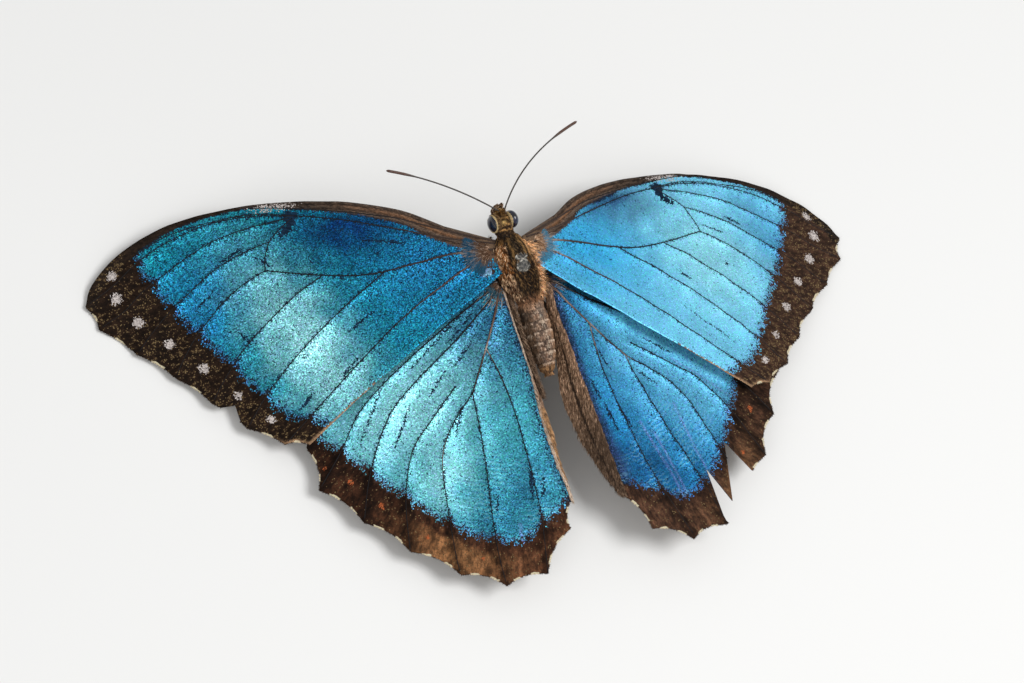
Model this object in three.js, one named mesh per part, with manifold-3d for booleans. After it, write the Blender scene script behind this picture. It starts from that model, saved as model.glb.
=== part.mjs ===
// A common blue morpho butterfly, life size, at rest with its wings open and lowered to the surface.
// Every named part of the body is a closed solid of its own. Millimetres, +Z up. The head looks
// along +Y and the insect's right wings reach along +X.
//
// Lengths inside the wings are flat coordinates: "out" runs from the hinge to the wing tip and
// "ahead" runs towards the head. wingPoint() bends that flat shape into its resting pose.
// Lengths on the body are measured along its own axis: see bodyPoint().
import * as THREE from 'three';
import { mergeVertices } from 'three/addons/utils/BufferGeometryUtils.js';
import Module from 'manifold-3d';

// ---------------------------------------------------------------- driving dimensions
const HINGE_HEIGHT = 12.2;      // the body's reference level above the surface it stands on
const WING_THICKNESS = 0.5;
const GAP = 0.25;               // clearance kept between neighbouring solids
const RINGS = 6;                // rings of each wing sheet, from its hub to its outline
const SHOULDER_STEPS = 3;       // straight steps from the hinge to the first point of the front edge
const INNER_STEPS = 8;          // straight steps along the inner edge or the crease
const DEGREE = Math.PI / 180;

// Forewing: front edge from the hinge to the tip, then the ends of the veins on the outer margin.
// The hub is a place from which the whole outline can be seen.
const FOREWING = {
  frontEdge: [[6.2, 4.7], [12, 8.4], [21, 11.3], [33, 12.4], [44, 11.2], [52, 7.7], [56.6, 3.4]],
  veinEnds: [[58, 0.2], [56.7, -3.4], [52.1, -7.8], [47.5, -11.9], [43.1, -16.4], [38.9, -20.8],
    [34.2, -23.9], [30.8, -24.4]],
  scallop: 0.45,
  frontSteps: 14,
  hinge: [[-1.8, 0.6], [-1.4, -3.4]],
  hub: [8, -2],
};

// Hindwing: the same, with the line where its inner part folds down beside the abdomen. The two
// hindwings lie a little differently, so each has its own crease, inner corner and fold angle, and
// its own stretches of the crease, from 0 to 1, where the fold opens and where it narrows.
const HINDWING = {
  frontEdge: [[9.5, -5.7], [14.5, -12.3], [18.2, -20.5], [19.6, -26.7]],
  veinEnds: [[18.5, -32.6], [14.9, -38], [7.6, -40.4], [0.3, -42.2], [-7.4, -43], [-13.9, -42.3]],
  scallop: 0.8,
  frontSteps: 7,
  hingeFront: [-1.5, 1.2],
  hub: [5, -4],
};
const HINDWING_CORNERS = {
  left: {
    creaseStart: [0.6, -1],
    corner: [[-18.8, -38.6], [-19.9, -31.2], [-18.7, -27.6]],
    foldAngle: 104 * DEGREE,
    opening: [0.4, 0.7],
    narrowing: [0.5, 0.78],
  },
  right: {
    creaseStart: [1.6, -1.85],
    corner: [[-19.4, -39.2], [-22.2, -33.4], [-20.7, -27.7]],
    foldAngle: 62 * DEGREE,
    opening: [0.33, 0.52],
    narrowing: [1, 1.1],
  },
};

function hindwing({ creaseStart, corner, ...fold }) {
  const veinEnds = [...HINDWING.veinEnds, ...corner];
  const hinge = [HINDWING.hingeFront, creaseStart];
  const crease = { start: creaseStart, end: corner[corner.length - 1], ...fold };
  return { ...HINDWING, hinge, veinEnds, crease };
}
const SCALLOP_STEPS = 4;        // straight steps between two vein ends

// The inner fold of the hindwing: its width, and the bend that turns it down.
const FOLD_WIDTH = 3.4;
const FOLD_ROOT_WIDTH = 1.6;
const PRESSED_ANGLE = 92 * DEGREE;  // the fold hangs steeper where the abdomen lies against it
const FOLD_RADIUS = 1.1;
const FOLD_COLUMNS = 4;

// Curvature of the wing sheets, per millimetre: out x out, out x ahead, ahead x ahead.
const FOREWING_BOW = [0.00133, 0.00055, -0.00005];
const HINDWING_BOW = [-0.00094, -0.00134, 0.00233];

const FOREWING_SHEET = { flat: FOREWING, bow: FOREWING_BOW, root: [3.2, 2, 2] };

// Resting pose of the four wings. side is -1 for the left. Angles turn the wing in its own
// plane, raise its front edge, and lower its tip.
const WING_POSES = {
  forewing_left: { side: -1, ...FOREWING_SHEET, sweep: 10.3, pitch: 1.4, droop: 18.4 },
  forewing_right: { side: 1, ...FOREWING_SHEET, sweep: -4.2, pitch: -1.3, droop: 18.1 },
  hindwing_left: {
    side: -1, flat: hindwing(HINDWING_CORNERS.left), bow: HINDWING_BOW,
    root: [3, -2.5, 0.25], sweep: 38.9, pitch: 9.2, droop: 17.5,
  },
  hindwing_right: {
    side: 1, flat: hindwing(HINDWING_CORNERS.right), bow: HINDWING_BOW,
    root: [3, -2.5, 0.45], sweep: 40.7, pitch: 8.1, droop: 16.4,
  },
};

// Missing pieces of the worn wings, as flat outlines that reach past the margin.
const TEARS = {
  forewing_left: [[[43.2, -17.2], [40, -17], [39.6, -20.2], [45, -24]]],
  hindwing_right: [
    [[-3.1, -41.6], [-1.9, -36], [-9.7, -41.4], [-11, -47], [-3.8, -47]],
    [[-9.7, -41.4], [-7.8, -35.7], [-13.5, -41.6], [-14.2, -47], [-10.9, -47]],
  ],
};

// The body's axis: its middle, how far the head end is raised, and how far it is turned left.
const BODY_MIDDLE = [-0.55, -1, 1];
const BODY_PITCH = 22 * DEGREE;
const BODY_YAW = 3.8 * DEGREE;

// Body sections, front to back: [place on the axis, half width, height above, depth below, and how
// far the section lies to the right of the axis, if it does].
const HEAD_SECTIONS = [[8.3, 0.6, 0.5, 0.7], [7.9, 1.15, 1, 1.3], [7.2, 1.55, 1.5, 1.75],
  [6.3, 1.7, 1.75, 1.9], [5.4, 1.65, 1.55, 1.6], [4.85, 1.45, 1.25, 1.2]];
const THORAX_SECTIONS = [[4.6, 1.5, 1.35, 1.4], [4.2, 1.85, 1.75, 2], [3.6, 2.15, 2.25, 2.6],
  [2, 2.6, 3, 3.5], [0, 2.8, 3.35, 4], [-2, 2.65, 3.05, 3.8, 0.1],
  [-3.8, 2.15, 2.25, 2.7, 0.35], [-4.9, 1.75, 1.65, 1.8, 0.6]];
const ABDOMEN_START = -5.2;
const ABDOMEN_SEGMENTS = 7;
const ABDOMEN_LENGTH = 10.8;
const ABDOMEN_HALF_WIDTH = 2.1;
const ABDOMEN_HALF_HEIGHT = 1.95;
const ABDOMEN_LEAN = [0.8, 0.35];    // how far it lies to the right of the axis at its two ends
const SEGMENT_GROOVE = 0.1;

const EYE_CENTRE = [1.38, 6.65, 0.25];
const EYE_RADII = [0.88, 1.3, 1.42];

const ANTENNA = { shaft: 0.26, club: 0.38, clubStart: 0.72, steps: 12 };
const ANTENNA_CURVES = {
  antenna_left: [[-1.5, 6.2, 4.9], [-8.5, 11.8, 6.7], [-16.6, 14.9, 7]],
  antenna_right: [[-0.6, 6.2, 4.9], [4.6, 13.4, 6.7], [15, 16.7, 7]],
};

// Walking legs of the right side: hip, knee, ankle and toe. The left ones are mirrored.
const FOOT_LEVEL = -HINGE_HEIGHT;
const TARSUS_RADIUS = 0.32;
const TOE_CENTRE = FOOT_LEVEL + TARSUS_RADIUS * Math.cos(Math.PI / 6);
const WALKING_LEGS = {
  midleg: { hip: [0.7, 0.8, -1.6], knee: [6.5, 4.6, -3.6], ankle: [8.8, 6.4], toe: [12.1, 9.9] },
  hindleg: { hip: [0.7, -2.2, -2.4], knee: [6.2, -6.6, -5.2], ankle: [8.2, -11.4], toe: [10.1, -16] },
};
const LEG_RADII = { hip: 0.6, thigh: 0.56, knee: 0.4, shin: 0.36, ankle: 0.3 };
// The reduced forelegs stay folded under the front of the thorax.
const FORELEG_BENDS = [[1, 3, -2], [1.6, 2.5, -4.3], [1.5, 4.2, -3.9], [1.15, 4.9, -2.6]];
const FORELEG_RADII = [0.4, 0.36, 0.34, 0.26];

const PALP_BENDS = [[0.42, 7.4, -0.9], [0.46, 8.3, -0.75], [0.42, 8.7, -0.1], [0.36, 8.95, 0.6]];
const PALP_RADII = [0.34, 0.42, 0.38, 0.25];
const PROBOSCIS = {
  centre: [7.3, -2.85],
  inner: 0.32,
  outer: 0.85,
  turns: 1.25,
  radius: 0.25,
  steps: 22,
};

const COLOURS = {
  wing: 0x1f7fc4,
  body: 0x6a5240,
  head: 0x7a5c3e,
  eye: 0x0b0d12,
  limb: 0x3a2a20,
  feeler: 0x1a1512,
};

// ---------------------------------------------------------------- small helpers
const wasm = await Module();
wasm.setup();

function vector(values) {
  return new THREE.Vector3(...values);
}

function closedGeometry(positions, triangles) {
  const geometry = new THREE.BufferGeometry();
  const coordinates = positions.flatMap((point) => point.toArray());
  const inward = signedVolume(positions, triangles) < 0;
  geometry.setAttribute('position', new THREE.Float32BufferAttribute(coordinates, 3));
  geometry.setIndex(triangles.flatMap(([a, b, c]) => (inward ? [a, c, b] : [a, b, c])));
  return geometry;
}

function signedVolume(positions, triangles) {
  const cross = new THREE.Vector3();
  return triangles.reduce((sum, [a, b, c]) => {
    cross.crossVectors(positions[b], positions[c]);
    return sum + positions[a].dot(cross) / 6;
  }, 0);
}

function toSolid(geometry) {
  const bare = geometry.clone();
  bare.deleteAttribute('normal');
  bare.deleteAttribute('uv');
  const merged = mergeVertices(bare, 1e-5);
  const mesh = new wasm.Mesh({
    numProp: 3,
    vertProperties: new Float32Array(merged.attributes.position.array),
    triVerts: new Uint32Array(merged.index.array),
  });
  return new wasm.Manifold(mesh);
}

function toGeometry(solid) {
  const mesh = solid.getMesh();
  const geometry = new THREE.BufferGeometry();
  geometry.setAttribute('position', new THREE.BufferAttribute(new Float32Array(mesh.vertProperties), 3));
  geometry.setIndex(new THREE.BufferAttribute(new Uint32Array(mesh.triVerts), 1));
  return geometry;
}

function cut(geometry, ...cutters) {
  const remove = (solid, cutter) => solid.subtract(toSolid(cutter));
  return toGeometry(cutters.reduce(remove, toSolid(geometry)));
}

// ---------------------------------------------------------------- lofted bodies
// Rings of equal length are joined in order, and both ends are closed by a fan.
function loft(rings) {
  const positions = rings.flat();
  const sides = rings[0].length;
  const triangles = [];
  for (let ring = 0; ring + 1 < rings.length; ring += 1) {
    for (let side = 0; side < sides; side += 1) {
      const next = (side + 1) % sides;
      const [a, b] = [ring * sides + side, ring * sides + next];
      triangles.push([a, b, b + sides], [a, b + sides, a + sides]);
    }
  }
  const last = (rings.length - 1) * sides;
  for (let side = 1; side + 1 < sides; side += 1) {
    triangles.push([0, side + 1, side], [last, last + side, last + side + 1]);
  }
  return closedGeometry(positions, triangles);
}

// A tube through the given points. Each ring keeps its flats level, so a foot rests on a flat.
function tube(points, radii, sides = 6) {
  const up = new THREE.Vector3(0, 0, 1);
  const rings = points.map((point, index) => {
    const before = points[Math.max(index - 1, 0)];
    const after = points[Math.min(index + 1, points.length - 1)];
    const along = after.clone().sub(before).normalize();
    const across = new THREE.Vector3().crossVectors(along, up).normalize();
    const over = new THREE.Vector3().crossVectors(across, along);
    return Array.from({ length: sides }, (_, side) => {
      const angle = (side * 2 * Math.PI) / sides;
      return point.clone()
        .addScaledVector(across, radii[index] * Math.cos(angle))
        .addScaledVector(over, radii[index] * Math.sin(angle));
    });
  });
  return loft(rings);
}

// ---------------------------------------------------------------- body
// across: to the insect's right; along: towards the head; above: towards its back.
function bodyPoint(across, along, above) {
  const level = new THREE.Vector3(across, along * Math.cos(BODY_PITCH) - above * Math.sin(BODY_PITCH),
    along * Math.sin(BODY_PITCH) + above * Math.cos(BODY_PITCH));
  level.applyAxisAngle(new THREE.Vector3(0, 0, 1), BODY_YAW);
  return level.add(vector(BODY_MIDDLE));
}

function bodySection([along, halfWidth, above, below, lean = 0], grow, sides) {
  return Array.from({ length: sides }, (_, side) => {
    const angle = (side * 2 * Math.PI) / sides;
    const height = (Math.sin(angle) > 0 ? above : below) + grow;
    const across = lean + (halfWidth + grow) * Math.cos(angle);
    return bodyPoint(across, along, height * Math.sin(angle));
  });
}

// A grown copy is used to cut what touches the part, so its ends move out as well.
function bodyLoft(sections, grow = 0, sides = 16) {
  const last = sections.length - 1;
  return loft(sections.map(([along, ...sizes], index) => {
    const shift = index === 0 ? grow : index === last ? -grow : 0;
    return bodySection([along + shift, ...sizes], grow, sides);
  }));
}

function abdomenSections() {
  const sections = [];
  for (let step = 0; step <= 2 * ABDOMEN_SEGMENTS; step += 1) {
    const part = step / (2 * ABDOMEN_SEGMENTS);
    // Full in the middle, a little narrower at its base, tapering to a blunt tip.
    const fullness = Math.sin(Math.PI * Math.min(part / 0.9, 1)) ** 0.8;
    const taper = Math.sqrt(1 - Math.max(0, (part - 0.5) / 0.5) ** 2.6 * 0.8);
    const groove = step % 2 === 0 ? SEGMENT_GROOVE : 0;
    const halfWidth = ABDOMEN_HALF_WIDTH * (0.84 + 0.16 * fullness) * taper - groove;
    const halfHeight = ABDOMEN_HALF_HEIGHT * (0.74 + 0.26 * fullness) * taper - groove;
    const along = ABDOMEN_START - part * ABDOMEN_LENGTH;
    const lean = THREE.MathUtils.lerp(...ABDOMEN_LEAN, part);
    sections.push([along, halfWidth, halfHeight, halfHeight, lean]);
  }
  return sections;
}

function eye(side, grow = 0) {
  const [across, along, above] = EYE_CENTRE;
  const [wide, long, high] = EYE_RADII.map((radius) => radius + grow);
  const sections = 8;
  const rings = Array.from({ length: sections - 1 }, (_, index) => {
    const angle = ((index + 1) / sections) * Math.PI;
    return Array.from({ length: 12 }, (__, step) => {
      const turn = (step * Math.PI) / 6;
      return bodyPoint(
        side * across + wide * Math.sin(angle) * Math.cos(turn),
        along + long * Math.cos(angle),
        above + high * Math.sin(angle) * Math.sin(turn),
      );
    });
  });
  return loft(rings);
}

function palp(side) {
  const points = PALP_BENDS.map(([across, along, above]) => bodyPoint(side * across, along, above));
  return cut(tube(points, PALP_RADII), bodyLoft(HEAD_SECTIONS, GAP));
}

// The sucking tube is rolled up like a watch spring between the palps, under the face.
function proboscis() {
  const points = Array.from({ length: PROBOSCIS.steps + 1 }, (_, step) => {
    const part = step / PROBOSCIS.steps;
    const radius = PROBOSCIS.inner + (PROBOSCIS.outer - PROBOSCIS.inner) * part;
    const angle = (90 * DEGREE) + (1 - part) * PROBOSCIS.turns * 2 * Math.PI;
    const [along, above] = PROBOSCIS.centre;
    return [along + radius * Math.cos(angle), above + radius * Math.sin(angle)];
  });
  const rings = points.map(([along, above], index) => {
    const [a, b] = [points[Math.max(index - 1, 0)], points[Math.min(index + 1, points.length - 1)]];
    const length = Math.hypot(b[0] - a[0], b[1] - a[1]);
    const outward = [(b[1] - a[1]) / length, -(b[0] - a[0]) / length];
    return Array.from({ length: 6 }, (_, side) => {
      const angle = (side * Math.PI) / 3;
      const offset = PROBOSCIS.radius * Math.sin(angle);
      const across = PROBOSCIS.radius * Math.cos(angle);
      return bodyPoint(across, along + outward[0] * offset, above + outward[1] * offset);
    });
  });
  return cut(loft(rings), bodyLoft(HEAD_SECTIONS, GAP));
}

function antenna(curvePoints) {
  const curve = new THREE.QuadraticBezierCurve3(...curvePoints.map(vector));
  const points = curve.getPoints(ANTENNA.steps);
  const radii = points.map((_, index) => {
    const part = index / ANTENNA.steps;
    if (part < ANTENNA.clubStart) return ANTENNA.shaft;
    const club = (part - ANTENNA.clubStart) / (1 - ANTENNA.clubStart);
    return ANTENNA.shaft + (ANTENNA.club - ANTENNA.shaft) * Math.sin(club * Math.PI * 0.85);
  });
  return cut(tube(points, radii), bodyLoft(HEAD_SECTIONS, GAP));
}

// ---------------------------------------------------------------- legs
function walkingLeg({ hip, knee, ankle, toe }, side) {
  const place = ([x, y, z]) => new THREE.Vector3(side * x + BODY_MIDDLE[0], y, z);
  const points = {
    hip: place(hip),
    knee: place(knee),
    ankle: place([...ankle, TOE_CENTRE]),
    toe: place([...toe, TOE_CENTRE]),
  };
  const between = (a, b, part) => points[a].clone().lerp(points[b], part);
  // The shin's lower end would dip under the flat of the foot, so it stops a little higher.
  const shinEnd = between('knee', 'ankle', 0.96);
  shinEnd.z += TARSUS_RADIUS;
  const route = [
    [points.hip, LEG_RADII.hip],
    [between('hip', 'knee', 0.45), LEG_RADII.thigh],
    [between('hip', 'knee', 0.94), LEG_RADII.knee],
    [between('knee', 'ankle', 0.06), LEG_RADII.knee],
    [between('knee', 'ankle', 0.5), LEG_RADII.shin],
    [shinEnd, LEG_RADII.ankle],
    [between('ankle', 'toe', 0.08), TARSUS_RADIUS],
    [between('ankle', 'toe', 0.2), TARSUS_RADIUS],
    [points.toe, TARSUS_RADIUS],
  ];
  const leg = tube(route.map(([point]) => point), route.map(([, radius]) => radius));
  return cut(leg, bodyLoft(THORAX_SECTIONS, GAP));
}

function foreleg(side) {
  const points = FORELEG_BENDS.map(([across, along, above]) => bodyPoint(side * across, along, above));
  const body = [bodyLoft(THORAX_SECTIONS, GAP), bodyLoft(HEAD_SECTIONS, GAP)];
  return cut(tube(points, FORELEG_RADII), ...body);
}

// ---------------------------------------------------------------- wings
// Bends what lies beyond the crease, towards the body, downwards: the new flat place and its drop.
function foldDown(crease, out, ahead) {
  const run = [crease.end[0] - crease.start[0], crease.end[1] - crease.start[1]];
  const length = Math.hypot(...run);
  const inward = [run[1] / length, -run[0] / length];
  const beyond = (out - crease.start[0]) * inward[0] + (ahead - crease.start[1]) * inward[1];
  if (beyond <= 0) return [out, ahead, 0];
  const part = ((out - crease.start[0]) * run[0] + (ahead - crease.start[1]) * run[1]) / length ** 2;
  const free = THREE.MathUtils.smoothstep(part, ...crease.opening);
  const angle = THREE.MathUtils.lerp(PRESSED_ANGLE, crease.foldAngle, free);
  const bent = Math.min(beyond / FOLD_RADIUS, angle);
  const straight = beyond - bent * FOLD_RADIUS;
  const level = FOLD_RADIUS * Math.sin(bent) + straight * Math.cos(bent);
  const drop = FOLD_RADIUS * (1 - Math.cos(bent)) + straight * Math.sin(bent);
  return [out + inward[0] * (level - beyond), ahead + inward[1] * (level - beyond), drop];
}

function wingPoint(pose, out, ahead) {
  const { crease } = pose.flat;
  const [a, b, drop] = crease ? foldDown(crease, out, ahead) : [out, ahead, 0];
  const [bowOut, bowMixed, bowAhead] = pose.bow;
  const point = new THREE.Vector3(a, b, bowOut * a * a + bowMixed * a * b + bowAhead * b * b - drop);
  point.applyAxisAngle(new THREE.Vector3(0, 0, 1), pose.sweep * DEGREE);
  point.applyAxisAngle(new THREE.Vector3(1, 0, 0), pose.pitch * DEGREE);
  point.applyAxisAngle(new THREE.Vector3(0, 1, 0), pose.droop * DEGREE);
  point.add(vector(pose.root));
  point.x *= pose.side;
  return point;
}

function wingNormal(pose, out, ahead) {
  const step = 0.05;
  const along = wingPoint(pose, out + step, ahead).sub(wingPoint(pose, out - step, ahead));
  const across = wingPoint(pose, out, ahead + step).sub(wingPoint(pose, out, ahead - step));
  return along.cross(across).normalize().multiplyScalar(pose.side);
}

// The margin dips in between neighbouring vein ends, as a half sine wave.
function margin({ veinEnds, scallop }) {
  const points = [];
  for (let cell = 0; cell + 1 < veinEnds.length; cell += 1) {
    const [from, to] = [veinEnds[cell], veinEnds[cell + 1]];
    const run = [to[0] - from[0], to[1] - from[1]];
    const length = Math.hypot(...run);
    const depth = Math.min(scallop, length * 0.12);
    for (let step = 0; step < SCALLOP_STEPS; step += 1) {
      const part = step / SCALLOP_STEPS;
      const dip = depth * Math.sin(Math.PI * part);
      points.push([
        from[0] + run[0] * part + (run[1] / length) * dip,
        from[1] + run[1] * part - (run[0] / length) * dip,
      ]);
    }
  }
  points.push(veinEnds[veinEnds.length - 1]);
  return points;
}

function frontEdge({ frontEdge: points, veinEnds, frontSteps }) {
  const controls = [...points, veinEnds[0]].map(([out, ahead]) => new THREE.Vector3(out, ahead, 0));
  const curve = new THREE.CatmullRomCurve3(controls, false, 'centripetal');
  return curve.getPoints(frontSteps).slice(0, -1).map((point) => [point.x, point.y]);
}

function mix(from, to, part) {
  return from.map((value, axis) => value + (to[axis] - value) * part);
}

// The steps between two flat places, both left out.
function between(from, to, steps) {
  return Array.from({ length: steps - 1 }, (_, index) => mix(from, to, (index + 1) / steps));
}

// Flat sheet of the wing: rings around the hub out to the outline, then the columns of the fold.
function flatSheet(flat) {
  const front = frontEdge(flat);
  const shoulder = between(flat.hinge[0], front[0], SHOULDER_STEPS);
  const rim = [flat.hinge[0], ...shoulder, ...front, ...margin(flat)];
  const creaseEnd = rim.length - 1;
  rim.push(...between(rim[creaseEnd], flat.hinge[1], INNER_STEPS), flat.hinge[1]);
  const count = rim.length;
  const places = [flat.hub];
  const faces = [];
  const quad = (a, b, c, d) => faces.push([a, b, c], [a, c, d]);
  for (let ring = 1; ring <= RINGS; ring += 1) {
    const start = 1 + (ring - 1) * count;
    places.push(...rim.map((end) => mix(flat.hub, end, ring / RINGS)));
    for (let index = 0; index < count; index += 1) {
      const [here, next] = [start + index, start + ((index + 1) % count)];
      if (ring === 1) faces.push([0, next, here]);
      else quad(here - count, next - count, next, here);
    }
  }
  if (flat.crease) addFold(flat.crease, places, quad, 1 + (RINGS - 1) * count + creaseEnd);
  return { places, faces };
}

// The fold's columns, from the crease to its free edge. first is the crease's end in places.
function addFold({ start, end, narrowing }, places, quad, first) {
  const run = [end[0] - start[0], end[1] - start[1]];
  const length = Math.hypot(...run);
  const inward = [run[1] / length, -run[0] / length];
  let previous = first;
  for (let column = 1; column <= FOLD_COLUMNS; column += 1) {
    const base = places.length;
    for (let step = 0; step <= INNER_STEPS; step += 1) {
      const part = 1 - step / INNER_STEPS;
      const swell = FOLD_WIDTH * Math.sin(Math.PI * part ** 1.15) ** 0.8;
      const narrow = 1 - THREE.MathUtils.smoothstep(part, ...narrowing);
      const width = Math.max(FOLD_ROOT_WIDTH * (1 - part) + swell * narrow, WING_THICKNESS);
      const beyond = (width * column) / FOLD_COLUMNS;
      places.push(mix(start, end, part).map((value, axis) => value + inward[axis] * beyond));
    }
    for (let step = 0; step < INNER_STEPS; step += 1) {
      quad(previous + step, previous + step + 1, base + step + 1, base + step);
    }
    previous = base;
  }
}

// Edges that only one face has, in that face's direction.
function freeEdges(faces) {
  const edges = faces.flatMap(([a, b, c]) => [[a, b], [b, c], [c, a]]);
  const known = new Set(edges.map(([a, b]) => `${a} ${b}`));
  return edges.filter(([a, b]) => !known.has(`${b} ${a}`));
}

function wing(name) {
  const pose = WING_POSES[name];
  const { places, faces } = flatSheet(pose.flat);
  const count = places.length;
  const layers = [WING_THICKNESS / 2, -WING_THICKNESS / 2].map(
    (lift) => places.map(([out, ahead]) => {
      const normal = wingNormal(pose, out, ahead);
      return wingPoint(pose, out, ahead).addScaledVector(normal, lift);
    }),
  );
  const under = faces.map(([a, b, c]) => [c + count, b + count, a + count]);
  const rim = freeEdges(faces).flatMap(([a, b]) => [[b, a, a + count], [b, a + count, b + count]]);
  const sheet = closedGeometry(layers.flat(), [...faces, ...under, ...rim]);
  const tears = (TEARS[name] ?? []).map((outline) => tearCutter(pose, outline));
  return cut(sheet, bodyLoft(THORAX_SECTIONS, GAP), ...tears);
}

// An upright prism over the torn-out outline, tall enough to pass through the sheet.
function tearCutter(pose, outline) {
  const reach = 6;
  const corners = outline.map(([out, ahead]) => wingPoint(pose, out, ahead));
  const raised = (lift) => corners.map((corner) => corner.clone().setZ(corner.z + lift));
  return loft([raised(reach), raised(-reach)]);
}

// ---------------------------------------------------------------- assembly
const butterfly = new THREE.Group();
butterfly.name = 'blue_morpho';

function add(name, geometry, colour, roughness = 0.8) {
  const finish = { color: colour, roughness, metalness: 0, flatShading: true };
  const mesh = new THREE.Mesh(geometry, new THREE.MeshStandardMaterial(finish));
  mesh.name = name;
  butterfly.add(mesh);
}

add('head', cut(bodyLoft(HEAD_SECTIONS), eye(-1, GAP), eye(1, GAP)), COLOURS.head);
add('thorax', bodyLoft(THORAX_SECTIONS), COLOURS.body);
add('abdomen', bodyLoft(abdomenSections(), 0, 14), COLOURS.body);
for (const [side, word] of [[-1, 'left'], [1, 'right']]) {
  add(`eye_${word}`, eye(side), COLOURS.eye, 0.2);
  add(`palp_${word}`, palp(side), COLOURS.head);
  add(`antenna_${word}`, antenna(ANTENNA_CURVES[`antenna_${word}`]), COLOURS.feeler, 0.6);
  add(`foreleg_${word}`, foreleg(side), COLOURS.limb);
  for (const [leg, joints] of Object.entries(WALKING_LEGS)) {
    add(`${leg}_${word}`, walkingLeg(joints, side), COLOURS.limb);
  }
  add(`forewing_${word}`, wing(`forewing_${word}`), COLOURS.wing, 0.45);
  add(`hindwing_${word}`, wing(`hindwing_${word}`), COLOURS.wing, 0.45);
}
add('proboscis', proboscis(), COLOURS.feeler, 0.5);

// The origin is the middle of the footprint, on the surface.
const box = new THREE.Box3().setFromObject(butterfly, true);
const middle = box.getCenter(new THREE.Vector3());
butterfly.position.set(-middle.x, -middle.y, -box.min.z);

export default butterfly;
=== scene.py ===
"""A blue morpho butterfly standing with its wings open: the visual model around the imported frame.

Lengths are in millimetres until a mesh is made. Wing places are flat coordinates: "out" from the
hinge to the tip and "ahead" towards the head; wing_point() bends that flat shape into its pose.
Body places are (across, along, above) on the body's own axis; body_point() puts them in the frame.
"""
import math

import bpy
import numpy as np
from mathutils import Matrix, Vector, geometry


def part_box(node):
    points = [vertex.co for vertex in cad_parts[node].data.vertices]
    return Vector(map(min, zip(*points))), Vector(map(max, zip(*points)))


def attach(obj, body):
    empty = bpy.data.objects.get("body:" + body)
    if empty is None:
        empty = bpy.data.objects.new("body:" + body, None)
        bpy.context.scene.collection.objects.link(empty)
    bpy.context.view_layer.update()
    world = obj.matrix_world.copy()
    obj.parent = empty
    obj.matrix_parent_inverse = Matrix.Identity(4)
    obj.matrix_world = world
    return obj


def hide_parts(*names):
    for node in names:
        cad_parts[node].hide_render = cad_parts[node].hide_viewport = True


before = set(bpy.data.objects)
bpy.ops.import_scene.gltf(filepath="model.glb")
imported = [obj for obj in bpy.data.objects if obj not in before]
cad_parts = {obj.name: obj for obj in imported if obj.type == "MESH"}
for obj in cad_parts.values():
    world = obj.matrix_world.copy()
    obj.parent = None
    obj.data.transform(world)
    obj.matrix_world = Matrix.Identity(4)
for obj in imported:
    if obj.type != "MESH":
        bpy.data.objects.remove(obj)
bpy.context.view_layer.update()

MM = 0.001
SEED = 20
SIDES = ((-1, "left"), (1, "right"))

# ---------------------------------------------------------------- the frame
BODY_MIDDLE = np.array([-0.55, -1.0, 1.0])
BODY_PITCH = math.radians(22)
BODY_YAW = math.radians(3.8)
EYE_CENTRE = (1.38, 6.65, 0.25)
EYE_RADII = (0.88, 1.3, 1.42)
EYE_CLEARING = (1.4, 1.0)   # no coat grows within this share of the eye's radii: right, left


def turned(points, axis, angle):
    """Points turned about one axis (0, 1 or 2) through the origin."""
    a, b = [(1, 2), (2, 0), (0, 1)][axis]
    result = np.array(points, float)
    result[..., a] = points[..., a] * math.cos(angle) - points[..., b] * math.sin(angle)
    result[..., b] = points[..., a] * math.sin(angle) + points[..., b] * math.cos(angle)
    return result


def body_direction(vectors):
    return turned(turned(np.asarray(vectors, float), 0, BODY_PITCH), 2, BODY_YAW)


def find_shift():
    """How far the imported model's origin lies from the body's own reference point."""
    corners = [np.array(corner) for _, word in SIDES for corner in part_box(f"eye_{word}")]
    middle = sum(corners) / len(corners) / MM
    return middle - body_direction(np.array([0, EYE_CENTRE[1], EYE_CENTRE[2]])) - BODY_MIDDLE


SHIFT = find_shift()


def body_point(places):
    return body_direction(places) + BODY_MIDDLE + SHIFT


# ---------------------------------------------------------------- curves and fields
def smooth_step(value, low, high):
    part = np.clip((value - low) / (high - low), 0, 1)
    return part * part * (3 - 2 * part)


def bell(gap, width):
    """1 where the gap is nothing, falling towards nothing past the width."""
    return np.exp(-((gap / width) ** 2))


def columns(*values):
    """Rows of points or colours, from a column for each axis; a single number fills its column."""
    return np.stack(np.broadcast_arrays(*values), axis=-1)


def unit(vectors):
    return vectors / np.maximum(np.linalg.norm(vectors, axis=-1, keepdims=True), 1e-9)


def distance(points, place):
    return np.linalg.norm(points - place, axis=-1)


def headings(angle):
    """Flat directions for angles from straight out, ahead being a quarter turn."""
    return columns(np.cos(angle), np.sin(angle))


def repeated(count, *row):
    """The same colour or direction in every row."""
    return np.tile(row, (count, 1))


def blend(colour, other, part):
    """Moves colours towards a colour, or towards other colours, by each one's own share."""
    return colour * (1 - part[:, None]) + np.asarray(other) * part[:, None]


def smooth_curve(points, step=0.5):
    """A uniform Catmull-Rom curve through the points, in about equal steps."""
    points = np.asarray(points, float)
    ends = np.vstack([2 * points[0] - points[1], points, 2 * points[-1] - points[-2]])
    pieces = []
    for a, b, c, d in zip(ends[:-3], ends[1:-2], ends[2:-1], ends[3:]):
        count = max(2, int(np.linalg.norm(c - b) / step))
        t = np.linspace(0, 1, count, endpoint=False)[:, None]
        slope_b = (c - a) / 2
        slope_c = (d - b) / 2
        pieces.append(
            (2 * t**3 - 3 * t**2 + 1) * b
            + (t**3 - 2 * t**2 + t) * slope_b
            + (3 * t**2 - 2 * t**3) * c
            + (t**3 - t**2) * slope_c
        )
    return np.vstack([*pieces, points[-1:]])


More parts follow.
